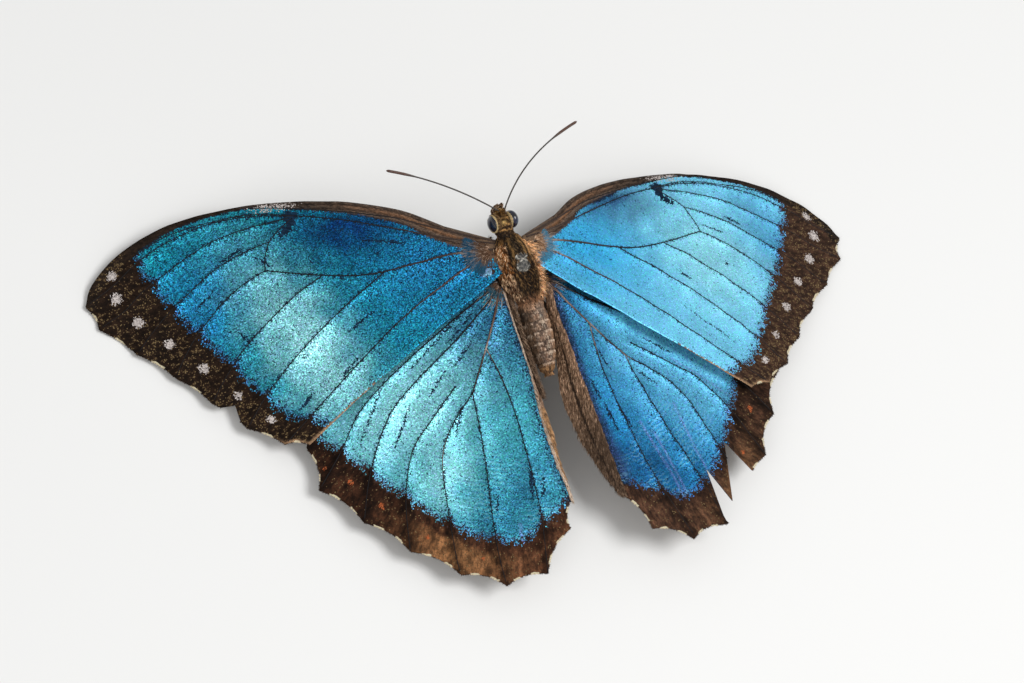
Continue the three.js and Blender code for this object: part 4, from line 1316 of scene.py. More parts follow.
def fringe(name, shape):
    """The short fringe of scales along the outer margin, pale over the pale marks."""
    rng = np.random.default_rng(SEED + 7)
    line = shape["margin"]
    lengths = np.linalg.norm(np.diff(line, axis=0), axis=1)
    starts = np.concatenate([[0], np.cumsum(lengths)])
    places = np.sort(rng.uniform(0, starts[-1], int(starts[-1] / FRINGE_SPACING)))

    def on_margin(place):
        return columns(*(np.interp(place, starts, line[:, axis]) for axis in range(2)))

    roots = on_margin(places)
    run = unit(on_margin(places + 0.3) - roots)
    outward = columns(-run[:, 1], run[:, 0])
    kept = np.linalg.norm(run, axis=1) > 0.5
    for hole in TEARS.get(name, []):
        kept &= ~inside(roots - outward * 0.05, hole)
    roots, outward = roots[kept], outward[kept]
    near_edge = roots - outward * 0.12
    base = wing_point(name, near_edge)
    lie = wing_point(name, roots + outward * 0.4) - base
    count = len(base)
    pale = smooth_step(cream_field(near_edge, name, shape), 0.0, 0.3)
    colours = blend(repeated(count, 0.035, 0.02, 0.012), (0.66, 0.57, 0.4), pale)
    colours = colours * rng.uniform(0.6, 1.4, (count, 1))
    patches = 0.02 + 0.9 * (roots - roots.min(0)) / np.ptp(roots, axis=0).max()
    lengths = rng.uniform(0.22, 0.36, count)
    lift = rng.uniform(-0.05, 0.15, count)
    upward = repeated(count, 0.0, 0.0, 1.0)
    piece = make_tufts(
        f"{name}_fringe", base, lie, upward, lengths, 0.09, lift, 0.1, colours, patches, WING_HAIR,
    )
    finish_piece(piece)


for wing_name in WINGS:
    outline_parts = wing_sheet(wing_name)
    vein_tubes(wing_name)
    fringe(wing_name, outline_parts)

# ---------------------------------------------------------------- body: skin
# Sections of the skin: place on the axis, half width, height above, depth below, lean to the right.
BODY_SECTIONS = [
    (8.3, 0.3, 0.25, 0.3, 0), (8.15, 0.6, 0.5, 0.7, 0), (7.8, 0.88, 0.95, 1.15, -0.08),
    (7.1, 1.13, 1.35, 1.55, -0.13), (6.3, 1.28, 1.55, 1.68, -0.15), (5.5, 1.36, 1.36, 1.42, -0.05),
    (5.0, 1.28, 1.13, 1.12, 0), (4.65, 1.3, 1.15, 1.2, 0), (4.2, 1.62, 1.55, 1.8, 0),
    (3.4, 2.0, 2.1, 2.45, 0), (2, 2.38, 2.75, 3.25, 0), (0, 2.58, 3.1, 3.7, 0),
    (-2, 2.42, 2.8, 3.5, 0.1), (-3.8, 1.95, 2.05, 2.45, 0.35), (-4.7, 1.6, 1.52, 1.66, 0.55),
    (-5.2, 1.55, 1.38, 1.48, 0.8),
]
SKIN_START = 8.28           # where the skin's first ring lies, in front
SKIN_SIDES = 96
ABDOMEN_START = -5.2
ABDOMEN_LENGTH = 10.5
ABDOMEN_WIDTH = 1.96
ABDOMEN_HEIGHT = 1.82
ABDOMEN_LEAN = (0.8, 0.35)
SEGMENTS = 7


def abdomen_part(along):
    return np.clip((ABDOMEN_START - along) / ABDOMEN_LENGTH, 0, 1)


def body_sizes(along):
    """Half width, height above, depth below and lean of the skin at places on the axis."""
    curve = smooth_curve(np.array(BODY_SECTIONS)[::-1], 0.12)
    curve = curve[np.argsort(curve[:, 0])]
    sizes = columns(*(np.interp(along, curve[:, 0], curve[:, axis]) for axis in (1, 2, 3, 4)))
    part = abdomen_part(along)
    fullness = np.sin(math.pi * np.minimum(part / 0.9, 1)) ** 0.8
    taper = np.sqrt(1 - np.maximum(0, (part - 0.5) / 0.5) ** 2.6 * 0.85)
    groove = 0.07 * bell((part * SEGMENTS + 0.5) % 1 - 0.5, 0.16) * smooth_step(part, 0.02, 0.1)
    width = ABDOMEN_WIDTH * (0.84 + 0.16 * fullness) * taper - groove
    height = ABDOMEN_HEIGHT * (0.74 + 0.26 * fullness) * taper - groove
    lean = ABDOMEN_LEAN[0] + (ABDOMEN_LEAN[1] - ABDOMEN_LEAN[0]) * part
    rear = smooth_step(part, 0, 0.03)[..., None]
    return sizes * (1 - rear) + columns(width, height, height, lean) * rear


def skin_places(along, angle):
    """Body places on the skin. The angle is 0 on the right, a quarter turn on top."""
    sizes = body_sizes(along)
    height = np.where(np.sin(angle) > 0, sizes[..., 1], sizes[..., 2])
    return columns(sizes[..., 3] + sizes[..., 0] * np.cos(angle), along, height * np.sin(angle))


COAT_GAIN = np.array([0.82, 0.7, 0.56])     # the coat's warmth in front and on the abdomen
ABDOMEN_GAIN = np.array([1.22, 1.14, 1.0])


def hair_mix(pick, middle, dark, below, pale=(0, 0, 0), above=1.0, dark_part=0.9, pale_part=0.9):
    """Hair of three colours: dark where pick is below one limit, pale where it is above another."""
    colour = blend(repeated(len(pick), *middle), dark, (pick < below) * dark_part)
    return blend(colour, pale, (pick > above) * pale_part)


def thorax_colour(across, along, above, pick):
    colour = hair_mix(
        pick, (0.07, 0.044, 0.024), (0.01, 0.006, 0.004), 0.4, (0.4, 0.26, 0.13), 0.84, pale_part=0.85,
    )
    # The back in front of the bare plate: a grey strip of short hair between dark and golden ones.
    front = smooth_step(along, 0.8, 1.8) * (1 - smooth_step(along, 4.1, 4.5)) * smooth_step(above, 0.2, 0.8)
    middle = 1 - smooth_step(np.abs(across + 0.35), 0.75, 1.05)
    grey = hair_mix(
        pick, (0.05, 0.037, 0.022), (0.008, 0.005, 0.004), 0.42, (0.24, 0.18, 0.11), 0.84, pale_part=0.8,
    )
    colour = blend(colour, grey, front * middle * 0.9)
    narrowing = 0.72 + 0.28 * smooth_step(4.4 - along, 0, 1.6)
    for place, width, shade, strength in BACK_STRIPES:
        colour = blend(colour, shade, front * bell(across - place * narrowing, width) * strength)
    # Behind the plate: dark wool with golden tips, and pale hair at the waist.
    behind = 1 - smooth_step(along, -1.5, -0.6)
    wool = hair_mix(pick, (0.06, 0.036, 0.018), (0.006, 0.004, 0.003), 0.42, (0.36, 0.24, 0.12), 0.84)
    colour = blend(colour, wool, behind * 0.9)
    pale = hair_mix(pick, (0.5, 0.3, 0.2), (0.04, 0.024, 0.016), 0.3)
    return blend(colour, pale, smooth_step(-along, 3.5, 4.8) * 0.8)


def flank_colour(colour, across, along, above, sideways, pick):
    """Hair beside the wing bases: tan and cream on the right, rusty and cream on the left."""
    beside = smooth_step(np.abs(sideways), 0.6, 0.8) * smooth_step(above, -1.6, -0.6)
    beside = beside * (along > -4.6) * (along < 3.6)
    right = hair_mix(pick, (0.56, 0.35, 0.2), (0.03, 0.016, 0.009), 0.3, dark_part=0.92)
    left = blend(repeated(len(across), 0.33, 0.15, 0.055), (0.21, 0.125, 0.08), smooth_step(-along, 0.2, 1.6))
    left = blend(left, (0.014, 0.007, 0.004), (pick < 0.38) * 0.92)
    warm = np.where((across > 0)[:, None], right, left)
    warm = blend(warm, (0.88, 0.72, 0.56), (pick > 0.78) * 0.9)
    return blend(colour, warm * 1.55, beside * 0.9)


def head_colour(across, along, above, pick):
    colour = hair_mix(
        pick, (0.1, 0.052, 0.018), (0.007, 0.004, 0.003), 0.46, (0.6, 0.38, 0.16), 0.84, pale_part=0.85,
    )
    # A dark and a golden arc round the crown, then a golden and a dark bar behind the eyes.
    for radius, width, shade in ((0.62, 0.13, (0.018, 0.01, 0.007)), (0.95, 0.1, (0.5, 0.35, 0.17))):
        arc = bell(np.hypot(across + 0.3, along - 6.3) - radius, width) * (along > 6.35)
        colour = blend(colour, shade, arc * 0.85 * (above > 0))
    crown = bell(np.hypot((across + 0.5) / 0.34, (along - 6.55) / 0.25), 1) * (above > 0)
    colour = blend(colour, (0.78, 0.62, 0.3), crown)
    bar = bell(along - 6.15, 0.15) * (above > 0.3) * (pick > 0.3)
    colour = blend(colour, (0.58, 0.4, 0.19), bar * 0.85)
    bar = bell(along - 5.86, 0.13) * (above > 0.2)
    colour = blend(colour, (0.025, 0.014, 0.009), bar * 0.9)
    curls = hair_mix(pick, (0.27, 0.14, 0.025), (0.012, 0.007, 0.005), 0.42, (0.95, 0.72, 0.4), 0.8)
    return blend(colour, curls, smooth_step(along, 7.3, 7.7))


def abdomen_colour(across, along, above, sideways, depth, pick, mottle):
    """Mottled grey, browner on the right and darker on the left, with a ring for each segment and painted
    glints along the back.
    """
    part = abdomen_part(along)
    colour = hair_mix(
        pick, (0.25, 0.18, 0.145), (0.07, 0.048, 0.04), 0.32, (0.52, 0.42, 0.37), 0.76, 0.85, 0.8,
    )
    for shade, share in (
        ((0.23, 0.14, 0.1), smooth_step(mottle, 0.1, 0.7) * 0.7),
        ((0.085, 0.06, 0.055), smooth_step(-mottle, 0.2, 0.8) * 0.7),
        ((0.3, 0.175, 0.105), smooth_step(sideways, 0.25, 0.8) * 0.7),
        ((0.075, 0.045, 0.026), smooth_step(-sideways, 0.5, 0.85) * 0.8),
    ):
        colour = blend(colour, shade, share)
    phase = (part * SEGMENTS + 0.5) % 1
    seen = (part > 0.1) * (part < 0.93)
    ragged = smooth_step(mottle, -0.5, 0.4)
    colour = blend(colour, (0.045, 0.032, 0.028), bell(phase - 0.47, 0.06) * seen * 0.75)
    colour = blend(colour, (0.68, 0.58, 0.52), bell(phase - 0.6, 0.07) * seen * ragged * 0.7)
    # Painted glints along the ridge of the back.
    ridge_glint = bell(across - 0.75, 0.2) * (above > 0) * (part > 0.22) * (part < 0.8) * (pick > 0.5)
    colour = blend(colour, (0.66, 0.64, 0.6), ridge_glint * smooth_step(np.abs(phase - 0.5), 0.05, 0.25) * 0.8)
    wool = hair_mix(pick, (0.5, 0.31, 0.21), (0.045, 0.027, 0.018), 0.3)
    colour = blend(colour, wool, (1 - smooth_step(part, 0.0, 0.2)) * 0.8)
    ends = blend(repeated(len(across), 0.15, 0.085, 0.048), (0.42, 0.25, 0.13), (pick > 0.5) * 0.85)
    ends = blend(ends, (0.05, 0.03, 0.02), bell(across - 0.35, 0.16) * 0.9)
    colour = blend(colour, ends, smooth_step(part, 0.84, 0.93))
    return blend(colour, (0.2, 0.15, 0.11), smooth_step(depth, 0.1, 0.7) * 0.5)


def body_colour(places, rng):
    """Colour of the coat at body places: markings, then clumps, then each tuft's own variation."""
    across, along, above = places.T
    count = len(places)
    flattened = columns(across, along * 0.6, above)
    clumps = soft_noise(flattened, 0.5, 71)
    pick = np.clip(rng.random(count) * 0.42 + (0.5 + 0.6 * soft_noise(flattened, 0.3, 72)) * 0.58, 0, 1)
    pick = np.clip((pick - 0.5) * 1.6 + 0.5, 0, 1)
    sizes = body_sizes(along)
    sideways = (across - sizes[:, 3]) / sizes[:, 0]
    colour = thorax_colour(across, along, above, pick)
    colour = flank_colour(colour, across, along, above, sideways, pick)
    # Collar: a row of golden cream spots on a dark band.
    wave = np.sin(across * 2 * math.pi / 0.74 + 1.2)
    gap = along - 5.42 - 0.1 * np.abs(across) - 0.09 * wave
    colour = blend(colour, head_colour(across, along, above, pick), smooth_step(gap, 0.1, 0.3))
    colour = blend(colour, (0.025, 0.014, 0.009), bell(gap, 0.36) * (above > -0.2) * 0.95)
    cream = np.minimum(bell(gap, 0.1) * (above > -0.3) * 1.3, 1)
    colour = blend(colour, (0.68, 0.45, 0.21), cream * (0.6 + 0.4 * smooth_step(wave, -0.7, 0)))
    rear = smooth_step(abdomen_part(along), 0.0, 0.05)
    mottle = soft_noise(flattened, 0.8, 73)
    depth = -above / sizes[:, 2]
    colour = blend(colour, abdomen_colour(across, along, above, sideways, depth, pick, mottle), rear)
    gain = blend(repeated(count, *COAT_GAIN), ABDOMEN_GAIN, rear)
    return colour * gain * (1 + 0.28 * clumps)[:, None] * rng.uniform(0.75, 1.25, (count, 1))


# Stripes along the back: place across, width, colour and strength.
BACK_STRIPES = (
    (-1.42, 0.3, (0.008, 0.005, 0.003), 0.95), (-1.0, 0.13, (0.4, 0.26, 0.11), 0.8),
    (-1.95, 0.2, (0.34, 0.2, 0.08), 0.75), (0.72, 0.14, (0.5, 0.34, 0.16), 0.8),
    (1.08, 0.2, (0.01, 0.006, 0.004), 0.85), (1.5, 0.22, (0.62, 0.4, 0.2), 0.8),
    (-0.3, 0.07, (0.03, 0.02, 0.014), 0.7),
)
# Bare, shiny plates on top of the thorax: across, along, half width, half length.
BALD_PATCHES = [(-0.05, 1.2, 1.15, 0.66), (-0.2, -0.15, 1.25, 1.02)]
# The raised rims of the plates, painted pale as painted highlight: across, along, half width, half length.
PLATE_RIMS = [(-0.05, 1.2, 0.92, 0.4), (-0.2, -0.2, 1.0, 0.82)]


def baldness(places):
    """1 on the bare, shiny plates on top of the thorax."""
    result = np.full(places.shape[:-1], -1.0)
    for middle, place, half_width, half_length in BALD_PATCHES:
        gap = np.hypot((places[..., 0] - middle) / half_width, (places[..., 1] - place) / half_length)
        result = np.maximum(result, 1 - gap)
    return smooth_step(result, 0.0, 0.2) * (places[..., 2] > 0)


def plate_rim(places):
    """1 on the raised, wavy rims of the plates, which are painted pale as painted highlight."""
    result = np.zeros(places.shape[:-1])
    for middle, place, half_width, half_length in PLATE_RIMS:
        across, along = places[..., 0] - middle, places[..., 1] - place
        turn = np.arctan2(across, along)
        gap = np.hypot(across / half_width, along / half_length) + 0.09 * np.cos(5 * turn + 1)
        result = np.maximum(result, bell(gap + 0.05 * np.cos(3 * turn) - 1, 0.11))
    return result * (places[..., 2] > 0)


def body_skin():
    """One skin over head, thorax and abdomen, made of rings round the body's axis."""
    front = np.arange(SKIN_START, ABDOMEN_START, -0.1)
    rear = np.arange(ABDOMEN_START, ABDOMEN_START - ABDOMEN_LENGTH, -0.09)
    along = np.concatenate([front, rear])
    angle = np.arange(SKIN_SIDES) * 2 * math.pi / SKIN_SIDES
    places = skin_places(*np.meshgrid(along, angle, indexing="ij"))
    bald, rim = baldness(places), plate_rim(places)
    places[..., 2] += rim * 0.07
    flat = places.reshape(-1, 3)
    piece = make_object("body_skin", body_point(flat), capped_faces(len(along), SKIN_SIDES), SKIN)
    set_colour(piece.data, "Colour", body_colour(flat, np.random.default_rng(SEED + 11)) * 0.55)
    set_float(piece.data, "Bald", bald)
    set_float(piece.data, "RimHighlight", rim)
    finish_piece(piece, ["head", "thorax", "abdomen"])


def coat(name, low, high, count, length, width, lift, bend, keep=None, seed=0, flow=None, gain=1.0):
    """Tufts all over the skin between two places on the axis. length, width and lift are ranges.
    Neighbouring tufts lean together, so that the coat breaks into clumps."""
    rng = np.random.default_rng(SEED + seed)
    along = rng.uniform(low, high, count * 2)
    angle = rng.uniform(0, 2 * math.pi, count * 2)
    size = body_sizes(along)
    radius = np.hypot(size[:, 0] * np.sin(angle), size[:, 1] * np.cos(angle))
    chosen = rng.random(count * 2) < radius / radius.max()
    along, angle = along[chosen][:count], angle[chosen][:count]
    roots = skin_places(along, angle)
    step = 0.02
    forward = skin_places(along + step, angle) - skin_places(along - step, angle)
    around = skin_places(along, angle + step) - skin_places(along, angle - step)
    normals = unit(np.cross(around, forward))
    centre = columns(body_sizes(along)[:, 3], along, 0)
    normals[np.sum(normals * (roots - centre), axis=1) < 0] *= -1
    from_eye = (np.abs(roots) * (1, 1, 0) + roots * (0, 0, 1) - EYE_CENTRE) / EYE_RADII
    in_eye = np.linalg.norm(from_eye, axis=1) < np.where(roots[:, 0] > 0, *EYE_CLEARING)
    wanted = (baldness(roots) < 0.3) & ~in_eye
    if keep is not None:
        wanted &= keep(*roots.T)
    roots, normals, along, angle = roots[wanted], normals[wanted], along[wanted], angle[wanted]
    total = len(roots)
    lie = repeated(total, 0.0, -1.0, 0.0) if flow is None else flow(*roots.T)
    clumps = columns(*(soft_noise(roots, 0.6, SEED + seed + shift) for shift in (1, 2, 3)))
    lie = lie + rng.normal(0, 0.16, (total, 3)) + 0.42 * clumps
    colours = body_colour(roots, rng) * gain
    patches = columns(angle / (2 * math.pi), (8.3 - along) / 24.4) * 0.94 + 0.03
    raised = rng.uniform(*lift, total) + (lift[1] - lift[0]) * 0.5 * clumps[:, 2]
    lengths = rng.uniform(*length, total) * (1 + 0.2 * clumps[:, 2])
    body_tufts(name, roots, lie, normals, lengths, rng.uniform(*width, total), raised, bend, colours, patches)


def head_flow(across, along, above):
    """On the face the hair stands forward; on the crown it lies back and to the sides."""
    back = columns(np.minimum(across * 0.5, 0.05), -1.0, above * 0.1)
    return blend(back, columns(across * 0.2, 0.9, 0.9), smooth_step(along, 7.0, 7.8))


def flank_flow(across, along, above):
    """Hair over the wing bases sweeps back and outwards."""
    return columns(np.sign(across) * 0.9, -0.7, 0.25)


def rear_flow(across, along, above):
    """Hair on the tip of the abdomen runs back in two lobes."""
    return columns((across - 0.35) * 0.35, -1.0, 0.05)


def body_coat():
    """The coat's layers: where each lies, its count, ranges of length, width and lift, and its bend."""
    coat("coat_head", 5.0, 8.25, 12000, (0.17, 0.34), (0.08, 0.13), (0.1, 0.5), 0.35, seed=21, flow=head_flow)
    coat("coat_mantle", 0.4, 5.2, 9000, (0.35, 0.7), (0.09, 0.15), (0.06, 0.3), 0.3, seed=29)
    coat("coat_thorax", -5.1, 0.6, 10500, (0.6, 1.1), (0.08, 0.14), (0.08, 0.42), 0.3, seed=22)
    coat("coat_abdomen", -16, -5.0, 16000, (0.26, 0.48), (0.09, 0.16), (0.06, 0.26), 0.2, seed=23)

    def on_flank(across, along, above):
        return (np.abs(across) > np.where(across > 0, 1.5, 1.9)) & (above > -0.9) & (above < 2.2)

    def on_right(across, along, above):
        return (across > 1.7) & (above > -0.4) & (above < 2.3)

    def behind_plate(across, along, above):
        return above > -0.5

    def on_tip(across, along, above):
        return (along < -14.3) & (np.abs(across - 0.35) > 0.12)

    def on_brow(across, along, above):
        return (above > 0.1) & (np.abs(across) < 0.55)

    def on_left(across, along, above):
        return (across < body_sizes(along)[:, 3]) & (above < 1.0) & (above > -1.6)

    coat(
        "coat_flanks", -4.4, 3.6, 9500, (0.6, 1.15), (0.08, 0.13), (0.2, 0.65), 0.5, on_flank, 24, flank_flow,
    )
    coat(
        "coat_shoulder", -4.9, 2.9, 5200, (1.0, 1.8), (0.07, 0.12), (0.7, 1.7), 0.4, on_right, 30, flank_flow,
        gain=1.75,
    )
    coat("coat_wool", -4.9, -0.7, 5000, (0.6, 1.0), (0.08, 0.14), (0.4, 1.0), 0.5, behind_plate, 27)
    coat("coat_tip", -16, -14.2, 3000, (0.25, 0.5), (0.07, 0.12), (0.1, 0.4), 0.3, on_tip, 25, rear_flow)
    coat("coat_brow", 7.2, 8.2, 1700, (0.5, 1.0), (0.06, 0.11), (0.5, 1.1), 0.4, on_brow, 26, head_flow)
    coat("coat_side", -13.5, -4.6, 6000, (0.7, 1.2), (0.06, 0.1), (0.4, 0.9), 0.5, on_left, 28)


# ---------------------------------------------------------------- head: eyes, palps, antennae
def ellipsoid(centre, radii, rows, sides):
    """Points and faces of an ellipsoid whose poles lie on its first axis."""
    tilt = np.linspace(0, math.pi, rows + 1)[1:-1]
    turn = np.arange(sides) * 2 * math.pi / sides
    tilts, turns = np.meshgrid(tilt, turn, indexing="ij")
    ring = columns(np.cos(tilts), np.sin(tilts) * np.cos(turns), np.sin(tilts) * np.sin(turns)) * radii
    ring = ring.reshape(-1, 3)
    points = np.vstack([ring, [(radii[0], 0, 0), (-radii[0], 0, 0)]]) + centre
    faces = ring_faces(len(tilt), sides)
    last = (len(tilt) - 1) * sides
    for side in range(sides):
        following = (side + 1) % sides
        faces.append((len(ring), following, side))
        faces.append((len(ring) + 1, last + side, last + following))
    return points, faces


def eyes():
    for side, word in SIDES:
        centre = np.array(EYE_CENTRE) * (side, 1, 1)
        points, faces = ellipsoid(centre, EYE_RADII, 48, 72)
        if side < 0:
            faces = [face[::-1] for face in faces]
        piece = make_object(f"eye_{word}_globe", body_point(points), faces, EYE)
        finish_piece(piece, [f"eye_{word}"])
        eye_rim(centre, side, word)


# Where the hair ends on each eye, from -1 at its inner pole to 1 at the outer one.
HAIR_EDGES = {-1: 0.38, 1: -0.5}


def eye_rim(centre, side, word):
    """Hair over the side of the eye towards the head, ending in a welt of cream scales."""
    rng = np.random.default_rng(SEED + 40 + side)
    edge = HAIR_EDGES[side]

    def on_eye(level, turn, grow=1.0):
        share = np.sqrt(1 - level * level)
        outward = columns(side * level, -share * np.sin(turn), share * np.cos(turn))
        return centre + outward * EYE_RADII * grow

    turn = np.linspace(math.radians(-80), math.radians(215), 100)
    thickness = 0.06 + 0.045 * smooth_step(np.degrees(turn), 0, 80)
    heap = Heap()
    heap.add_tube(body_point(on_eye(edge - 0.05, turn, 1.01)), thickness, 8, (0.6, 0.44, 0.2))
    heap.finish(f"eye_{word}_rim", LEG)
    count = 3600
    level = rng.uniform(-0.85, edge, count)
    turn = rng.uniform(math.radians(-85), math.radians(220), count)
    roots = on_eye(level, turn)
    normals = unit((roots - centre) / (np.array(EYE_RADII) ** 2))
    lie = columns(side * 0.35, -np.cos(turn) - 0.3, -np.sin(turn)) + rng.normal(0, 0.25, (count, 3))
    pick = rng.random(count)[:, None]
    colours = three_tones(pick, 0.35, 0.8, (0.03, 0.016, 0.009), (0.17, 0.092, 0.036), (0.42, 0.28, 0.13))
    pale = (edge - level < 0.2)[:, None] & (pick > 0.2)
    colours = np.where(pale, (0.7, 0.55, 0.3), colours) * rng.uniform(0.7, 1.25, (count, 1))
    patches = columns((turn + 1.5) / 5.5, level * 0.5 + 0.45)
    lengths = rng.uniform(0.16, 0.3, count)
    lift = rng.uniform(0.1, 0.45, count)
    body_tufts(f"eye_{word}_lashes", roots, lie, normals, lengths, 0.075, lift, 0.2, colours, patches)


PALP_BENDS = [(0.42, 7.4, -0.9), (0.46, 8.3, -0.75), (0.42, 8.7, -0.1), (0.36, 8.95, 0.6)]
PALP_RADII = [0.26, 0.34, 0.3, 0.15]


def palps():
    """The two upturned palps beside the proboscis: a core with a coat of scales."""
    for side, word in SIDES:
        rng = np.random.default_rng(SEED + 50 + side)
        line = smooth_curve(np.array(PALP_BENDS) * (side, 1, 1), 0.08)
        radii = np.interp(np.linspace(0, 3, len(line)), [0, 1, 2, 3], PALP_RADII)
        heap = Heap()
        heap.add_tube(body_point(line), radii, 16, (0.14, 0.075, 0.035))
        heap.finish(f"palp_{word}_core", LEG, [f"palp_{word}"])
        count = 1500
        index = rng.integers(0, len(line), count)
        turn = rng.uniform(0, 2 * math.pi, count)
        run, normals = around_line(line, index, turn, (1, 0, 0))
        roots = line[index] + normals * radii[index][:, None] * 0.95
        pick = rng.random(count)[:, None]
        colours = three_tones(pick, 0.35, 0.72, (0.04, 0.02, 0.012), (0.2, 0.105, 0.045), (0.62, 0.46, 0.34))
        colours = colours * rng.uniform(0.8, 1.25, (count, 1))
        patches = columns(turn / (2 * math.pi), index / len(line)) * 0.9 + 0.05
        lengths = rng.uniform(0.2, 0.4, count)
        lift = rng.uniform(0.1, 0.5, count)
        label = f"palp_{word}_scales"
        body_tufts(label, roots, run, normals, lengths, 0.07, lift, 0.3, colours, patches)


ANTENNA_CURVES = {
    "antenna_left": [(-1.5, 6.2, 4.9), (-8.5, 11.8, 6.7), (-16.6, 14.9, 7)],
    "antenna_right": [(-0.6, 6.2, 4.9), (4.6, 13.4, 6.7), (15, 16.7, 7)],
}
ANTENNA_RINGS = 62


def antennae():
    """Ringed shafts, a little thicker at each joint, ending in slender reddish clubs."""
    for name, bends in ANTENNA_CURVES.items():
        start, middle, end = np.array(bends) + SHIFT
        t = np.linspace(0, 1, ANTENNA_RINGS * 4 + 1)
        share = t[:, None]
        line = (1 - share) ** 2 * start + 2 * share * (1 - share) * middle + share * share * end
        joint = 0.5 + 0.5 * np.cos(t * ANTENNA_RINGS * 2 * math.pi)
        radius = 0.1 + 0.015 * joint + 0.1 * smooth_step(t, 0.72, 0.86)
        radius *= np.sqrt(np.clip((1 - t) / 0.02, 0.02, 1))
        colour = blend(repeated(len(t), 0.016, 0.012, 0.01), (0.2, 0.15, 0.11), joint**6 * 0.35)
        colour = blend(colour, (0.07, 0.026, 0.012), smooth_step(t, 0.74, 0.86))
        heap = Heap()
        heap.add_tube(line, radius, 12, colour)
        heap.finish(f"{name}_rings", ANTENNA, [name])


PROBOSCIS_CENTRE = (7.3, -2.85)


def proboscis():
    """The coiled tongue: a spiral of fine rings, thinner towards its middle."""
    turns, inner, outer, steps = 1.25, 0.32, 0.85, 160
    part = np.linspace(0, 1, steps)
    angle = part * turns * 2 * math.pi
    reach = outer + (inner - outer) * part
    along, above = PROBOSCIS_CENTRE
    line = columns(0, along - reach * np.cos(angle), above + reach * np.sin(angle))
    radius = (0.2 - 0.08 * part) * (1 + 0.05 * np.sin(part * 340))
    heap = Heap()
    heap.add_tube(body_point(line), radius, 12, (0.05, 0.028, 0.016))
    heap.finish("proboscis_coil", ANTENNA, ["proboscis"])


# ---------------------------------------------------------------- legs
FOOT_LEVEL = -12.2
TARSUS_RADIUS = 0.24
WALKING_LEGS = {
    "midleg": {"hip": (0.7, 0.8, -1.6), "knee": (6.5, 4.6, -3.6), "ankle": (8.8, 6.4), "toe": (12.1, 9.9)},
    "hindleg": {
        "hip": (0.7, -2.2, -2.4), "knee": (6.2, -6.6, -5.2), "ankle": (8.2, -11.4), "toe": (10.1, -16),
    },
}
LEG_BROWN = (0.06, 0.036, 0.022)
TARSUS_CUTS = (0, 0.42, 0.6, 0.74, 0.86, 1)     # where the foot's segments begin and end
CLAW = ((0, 0, 0), (0.22, 0.16, 0.03), (0.42, 0.2, -0.14))      # ahead, sideways and up from the toe


def leg_place(side, point):
    return np.array([side * point[0] - 0.55, point[1], point[2]]) + SHIFT


def limb(heap, points, radii, colour):
    """A leg segment with swollen middle and narrow joints."""
    line = smooth_curve(np.array(points), 0.15)
    share = np.linspace(0, 1, len(line))
    radius = np.interp(share, np.linspace(0, 1, len(radii)), radii)
    heap.add_tube(line, radius, 12, colour)
    return line, radius


def leg_tufts(name, lines, rng):
    """Short lying scales on a leg's segments, with a few stiff spines on the outer ones."""
    parts = []
    for number, (line, radius, per_mm, is_spiny) in enumerate(lines):
        count = int(np.linalg.norm(np.diff(line, axis=0), axis=1).sum() * per_mm)
        index = rng.integers(0, len(line), count)
        turn = rng.uniform(0, 2 * math.pi, count)
        run, normal = around_line(line, index, turn, (0, 0, 1.0))
        spine = (rng.random(count) < 0.12) & is_spiny
        parts.append((
            line[index] + normal * radius[index][:, None] * 0.93,
            run,
            normal,
            np.where(spine, rng.uniform(0.4, 0.6, count), rng.uniform(0.16, 0.3, count)),
            np.where(spine, 0.05, 0.075),
            np.where(spine, 0.75, 0.12),
            columns(turn / (2 * math.pi), (index / len(line) + number) / len(lines)) * 0.9 + 0.05,
        ))
    roots, lies, normals, lengths, widths, lifts, patches = (np.concatenate(column) for column in zip(*parts))
    low = roots[:, 2] + lies[:, 2] * lengths + normals[:, 2] * np.sin(lifts) * lengths
    keep = (low > 0.05) & (roots[:, 2] > 0.12)
    colours = np.array([0.085, 0.055, 0.035]) * rng.uniform(0.4, 1.8, (keep.sum(), 1))
    piece = make_tufts(
        name, roots[keep], lies[keep], normals[keep], lengths[keep], widths[keep], lifts[keep], 0.1, colours,
        patches[keep], BODY_HAIR,
    )
    finish_piece(piece)


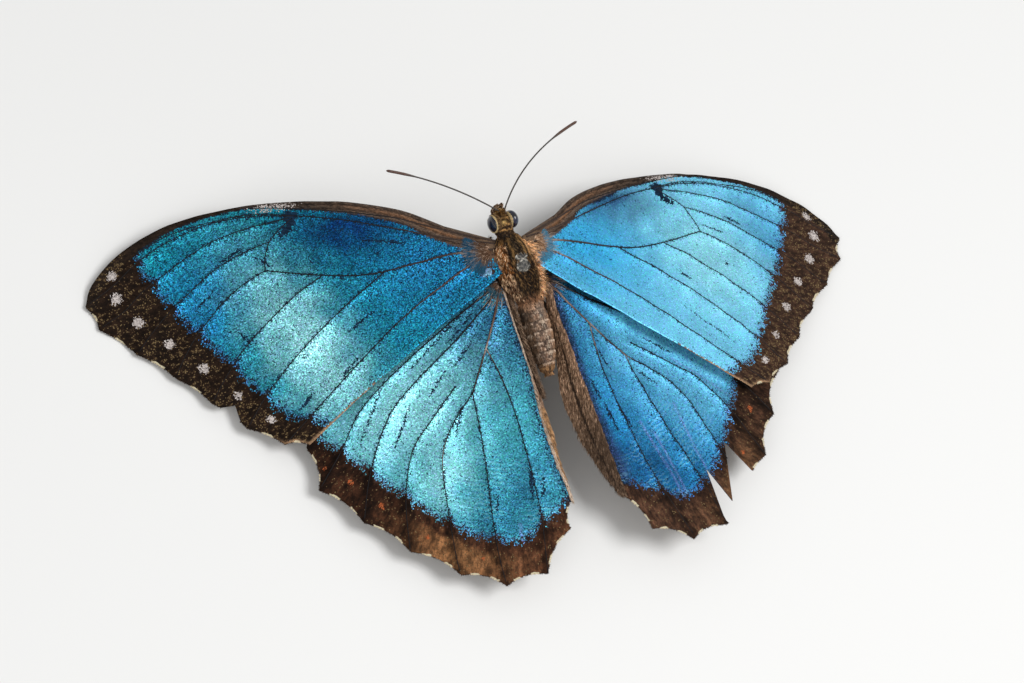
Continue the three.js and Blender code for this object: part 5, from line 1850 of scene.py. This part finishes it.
def walking_leg(leg, side, word):
    """A leg from the hip to its flat foot: thigh, shin, five foot segments and two claws."""
    spots = WALKING_LEGS[leg]
    rng = np.random.default_rng(SEED + 70 + side + len(leg))
    toe_level = FOOT_LEVEL + TARSUS_RADIUS
    hip, knee = leg_place(side, spots["hip"]), leg_place(side, spots["knee"])
    ankle, toe = (leg_place(side, (*spots[joint], toe_level)) for joint in ("ankle", "toe"))
    outward = np.array([side * 0.4, 0, 0.25])
    heap = Heap()
    thigh_bends = [hip, (hip + knee) / 2 + outward * 0.2, knee]
    thigh = limb(heap, thigh_bends, [0.45, 0.52, 0.5, 0.42, 0.26], LEG_BROWN)
    shin_bends = [knee, (knee + ankle) / 2, ankle + (0, 0, 0.08)]
    shin = limb(heap, shin_bends, [0.24, 0.3, 0.27, 0.24, 0.2], LEG_BROWN)
    lines = [(*thigh, 190, False), (*shin, 170, True)]
    run = toe - ankle
    for start, end in zip(TARSUS_CUTS[:-1], TARSUS_CUTS[1:]):
        segment = [ankle + run * share for share in (start, (start + end) / 2, end)]
        lines.append((*limb(heap, segment, [0.15, 0.21, 0.22, 0.24, 0.16], (0.1, 0.06, 0.035)), 120, True))
    ahead = run / np.linalg.norm(run)
    across = np.cross(ahead, (0, 0, 1.0))
    for way in (-1, 1):
        bends = [toe + ahead * far + across * way * wide + (0, 0, rise) for far, wide, rise in CLAW]
        line = smooth_curve(bends, 0.06)
        heap.add_tube(line, np.linspace(0.085, 0.02, len(line)), 8, (0.02, 0.012, 0.008))
    # The underside stays on the floor.
    for points in heap.points:
        points[:, 2] = np.maximum(points[:, 2], 0)
    heap.finish(f"{leg}_{word}_segments", LEG, [f"{leg}_{word}"])
    leg_tufts(f"{leg}_{word}_scales", lines, rng)


FORELEG_BENDS = [(1, 3, -2), (1.6, 2.5, -4.3), (1.5, 4.2, -3.9), (1.15, 4.9, -2.6)]
FORELEG_RADII = ([0.3, 0.3, 0.22], [0.2, 0.24, 0.2], [0.19, 0.18, 0.1])


def foreleg(side, word):
    """The small brush-like foreleg, folded against the chest."""
    rng = np.random.default_rng(SEED + 90 + side)
    bends = body_point(np.array(FORELEG_BENDS) * (side, 1, 1))
    heap = Heap()
    lines = []
    for start, end, radii in zip(bends[:-1], bends[1:], FORELEG_RADII):
        lines.append((*limb(heap, [start, (start + end) / 2, end], radii, (0.09, 0.055, 0.035)), 330, True))
    heap.finish(f"foreleg_{word}_segments", LEG, [f"foreleg_{word}"])
    leg_tufts(f"foreleg_{word}_scales", lines, rng)


def all_legs():
    for side, word in SIDES:
        for leg in WALKING_LEGS:
            walking_leg(leg, side, word)
        foreleg(side, word)


# ---------------------------------------------------------------- hair on the wings
def wing_hair(name, label, flat, direction, length, width, lift, colours, seed, bend=0.2):
    """Tufts rooted on a wing's upper side; direction is the way they lie in the flat wing."""
    rng = np.random.default_rng(SEED + seed)
    count = len(flat)
    step = 0.05
    roots = wing_point(name, flat, SHEET / 2)
    along = wing_point(name, flat + direction * step, SHEET / 2) - roots
    sideways = columns(-direction[:, 1], direction[:, 0])
    across = wing_point(name, flat + sideways * step, SHEET / 2) - roots
    normals = unit(np.cross(along, across) * WINGS[name]["side"])
    patches = 0.03 + 0.9 * (flat - flat.min(0)) / np.ptp(flat, axis=0).max()
    colours = colours * rng.uniform(0.7, 1.3, (count, 1))
    lengths, widths, lifts = (rng.uniform(*limits, count) for limits in (length, width, lift))
    piece = make_tufts(
        f"{name}_{label}", roots, along, normals, lengths, widths, lifts, bend, colours, patches, WING_HAIR,
    )
    finish_piece(piece)


def shoulder_hair():
    """Brown, cream and slate hair fanning out from the thorax over the wing bases."""
    for name, wing in WINGS.items():
        rng = np.random.default_rng(SEED + 100 + len(name))
        fore, right = wing["kind"] == "fore", wing["side"] > 0
        shape = outline_of(wing_shape(name))
        count = 5400 if fore else 700
        lowest = -125 if not fore else -105 if right else -60
        angle = rng.uniform(math.radians(lowest), math.radians(34 if fore else -35), count)
        extent = 1.7 if not fore else 2.6 if right else 3.4
        reach = 0.5 + extent * rng.random(count) ** 1.6
        flat = headings(angle) * reach[:, None]
        keep = inside(flat, shape)
        if not fore:
            keep &= beyond_crease(flat, wing["side"]) < 0.5
        flat, reach = flat[keep], reach[keep]
        clumps = columns(soft_noise(flat, 0.7, 81), soft_noise(flat, 0.7, 82))
        direction = unit(flat) + rng.normal(0, 0.14, flat.shape) + 0.3 * clumps
        pick = clumped_pick(rng, len(flat), soft_noise(flat, 0.45, 83))
        near = (1 - smooth_step(reach / extent, 0.4, 1.1))[:, None]
        tan = (0.42, 0.25, 0.14) if right else (0.2, 0.115, 0.07)
        # Far hair takes the wing's blues, painted sheen and painted light included.
        far = blended_blue(flat, name) * 0.6 + (0.02, 0.015, 0.02)
        colours = np.where(pick < 0.35 * near, (0.1, 0.05, 0.028), np.where(pick < 0.8 * near, tan, far))
        colours = np.where(pick > 1.0 - 0.22 * near, (0.8, 0.6, 0.45), colours)
        ranges = (0.45, 1.0), (0.045, 0.08), (0.08, 0.45)
        wing_hair(name, "shoulder_hair", flat, direction, *ranges, colours, 110)
        long_strands(name, fore, shape)


def long_strands(name, fore, shape):
    """A few long cream hairs fanning out over each wing from its root."""
    rng = np.random.default_rng(SEED + 160 + len(name))
    count = 90 if fore else 34
    angle = rng.uniform(math.radians(-38 if fore else -115), math.radians(22 if fore else -50), count)
    flat = headings(angle) * rng.uniform(1.0, 3.6, count)[:, None]
    flat = flat[inside(flat, shape)]
    direction = unit(flat) + rng.normal(0, 0.12, flat.shape)
    colours = repeated(len(flat), 0.6, 0.48, 0.4)
    wing_hair(name, "long_strands", flat, direction, (1.2, 2.4), (0.03, 0.045), (0.08, 0.25), colours, 170)


def fold_hair():
    """Brown hair lying along the inner folds of the hindwings, and reaching over to the abdomen."""
    for name in ("hindwing_left", "hindwing_right"):
        side = WINGS[name]["side"]
        rng = np.random.default_rng(SEED + 120 + side)
        run, length, inward = crease_frame(side)
        count = 15000
        part = rng.uniform(0.02, 0.98, count)
        width = fold_width(part, side)
        places = CREASE_START[side] + run * part[:, None]
        start = np.minimum(hair_start(places, side) - 0.1, width - 0.15)
        beyond = start + rng.random(count) * (width - 0.1 - start)
        flat = places + inward * beyond[:, None]
        direction = run / length + inward * 0.2 + rng.normal(0, 0.1, (count, 2))
        direction += 0.2 * columns(soft_noise(flat, 1.1, 84), soft_noise(flat, 1.1, 85))
        pick = clumped_pick(rng, count, soft_noise(flat * (1, 0.4), 0.5, 86))
        # The fold's hair is painted two to three and a half times lighter, on the right most at the front:
        # painted light against the shade of the steeply hanging fold.
        shade = (3.5 - 2.3 * smooth_step(part, 0.4, 0.8))[:, None] if side > 0 else 2.0
        colours = three_tones(pick, 0.36, 0.7, (0.034, 0.02, 0.012), (0.105, 0.064, 0.04), (0.27, 0.18, 0.12))
        colours = colours * shade
        past = (beyond - start)[:, None]
        if side > 0:
            vein = (np.abs(beyond / width - 0.5) < 0.045) & (part > 0.2)
            colours = np.where(vein[:, None], (0.035, 0.021, 0.014), colours)
        else:
            # A cream edge, and rosy hair beside it that turns golden towards the wing's corner.
            far = part[:, None]
            colours = np.where((past < 0.22) & (pick > 0.25), (0.62, 0.5, 0.4), colours)
            rosy = (past >= 0.22) & ((past < 0.9) | (far > 0.4)) & (pick > 0.36)
            colours = np.where(rosy, np.where(far > 0.55, (0.58, 0.34, 0.17), (0.44, 0.28, 0.19)), colours)
        wing_hair(name, "fold_hair", flat, direction, (0.6, 1.3), (0.04, 0.07), (0.03, 0.2), colours, 130)


def lap_hair():
    """On the left the fold's hair stands up beside the abdomen and closes the gap."""
    rng = np.random.default_rng(SEED + 140)
    run, length, inward = crease_frame(-1)
    count = 5200
    part = rng.uniform(0.04, 0.5, count)
    beyond = rng.uniform(1.1, 2.4, count)
    flat = CREASE_START[-1] + run * part[:, None] + inward * beyond[:, None]
    direction = run / length + rng.normal(0, 0.15, (count, 2)) - inward * 0.15
    pick = rng.random(count)[:, None]
    colours = three_tones(pick, 0.4, 0.8, (0.04, 0.024, 0.015), (0.16, 0.1, 0.065), (0.4, 0.27, 0.18))
    ranges = (0.9, 1.6), (0.05, 0.08), (0.5, 1.1)
    wing_hair("hindwing_left", "lap_hair", flat, direction, *ranges, colours, 150, 0.5)


body_skin()
body_coat()
eyes()
palps()
antennae()
proboscis()
all_legs()
shoulder_hair()
fold_hair()
lap_hair()


# ---------------------------------------------------------------- stage
def camera():
    """The camera looks at the model from the rear left. Its angles and shifts put the body and the
    wing tips where they are in the picture's frame."""
    azimuth, elevation, roll = (math.radians(angle) for angle in (-51.01, 55.57, 32.9))
    distance_mm = 550.0
    pixels_per_mm = 7.0213
    frame_width = 1024
    sensor_width = 36
    sideways, upward = -0.2484, -11.1475
    level = math.cos(elevation)
    back = np.array([math.sin(azimuth) * level, -math.cos(azimuth) * level, math.sin(elevation)])
    right = unit(np.cross(-back, (0, 0, 1)))
    up = np.cross(right, -back)
    turned_right = right * math.cos(roll) + up * math.sin(roll)
    turned_up = -right * math.sin(roll) + up * math.cos(roll)
    place = back * distance_mm + turned_right * sideways + turned_up * upward + SHIFT
    data = bpy.data.cameras.new("camera")
    data.sensor_width = sensor_width
    data.lens = pixels_per_mm * distance_mm * sensor_width / frame_width
    data.clip_start = 0.01
    view = placed("camera", data)
    rows = Matrix((turned_right, turned_up, back)).transposed().to_4x4()
    view.matrix_world = Matrix.Translation(Vector(place * MM)) @ rows
    bpy.context.scene.camera = view


def floor():
    n = Nodes("floor")
    colour = n.mix(n.noise(n.object_place(), 6, 2), (0.78, 0.78, 0.77), (0.81, 0.81, 0.80))
    side = 2500
    corners = np.array([(-side, -side, 0), (side, -side, 0), (side, side, 0), (-side, side, 0)], float)
    make_object("floor", corners, [(0, 1, 2, 3)], n.set(Base_Color=colour, Roughness=0.9))


def area_light(name, place, size, power, target=(0, 0, 8)):
    data = bpy.data.lights.new(name, "AREA")
    data.shape = "DISK"
    data.size = size * MM
    data.energy = power
    lamp = placed(name, data)
    lamp.location = Vector(place) * MM
    lamp.rotation_euler = (Vector(target) - Vector(place)).to_track_quat("-Z", "Y").to_euler()


def lights():
    world = bpy.data.worlds.new("studio")
    world.use_nodes = True
    background = world.node_tree.nodes["Background"]
    background.inputs["Color"].default_value = (1, 1, 1, 1)
    background.inputs["Strength"].default_value = 0.48
    bpy.context.scene.world = world
    area_light("key", (230, -190, 600), 360, 2.9)
    area_light("fill", (-420, -260, 420), 420, 0.9)


camera()
floor()
lights()
bpy.context.scene.view_settings.view_transform = "Standard"
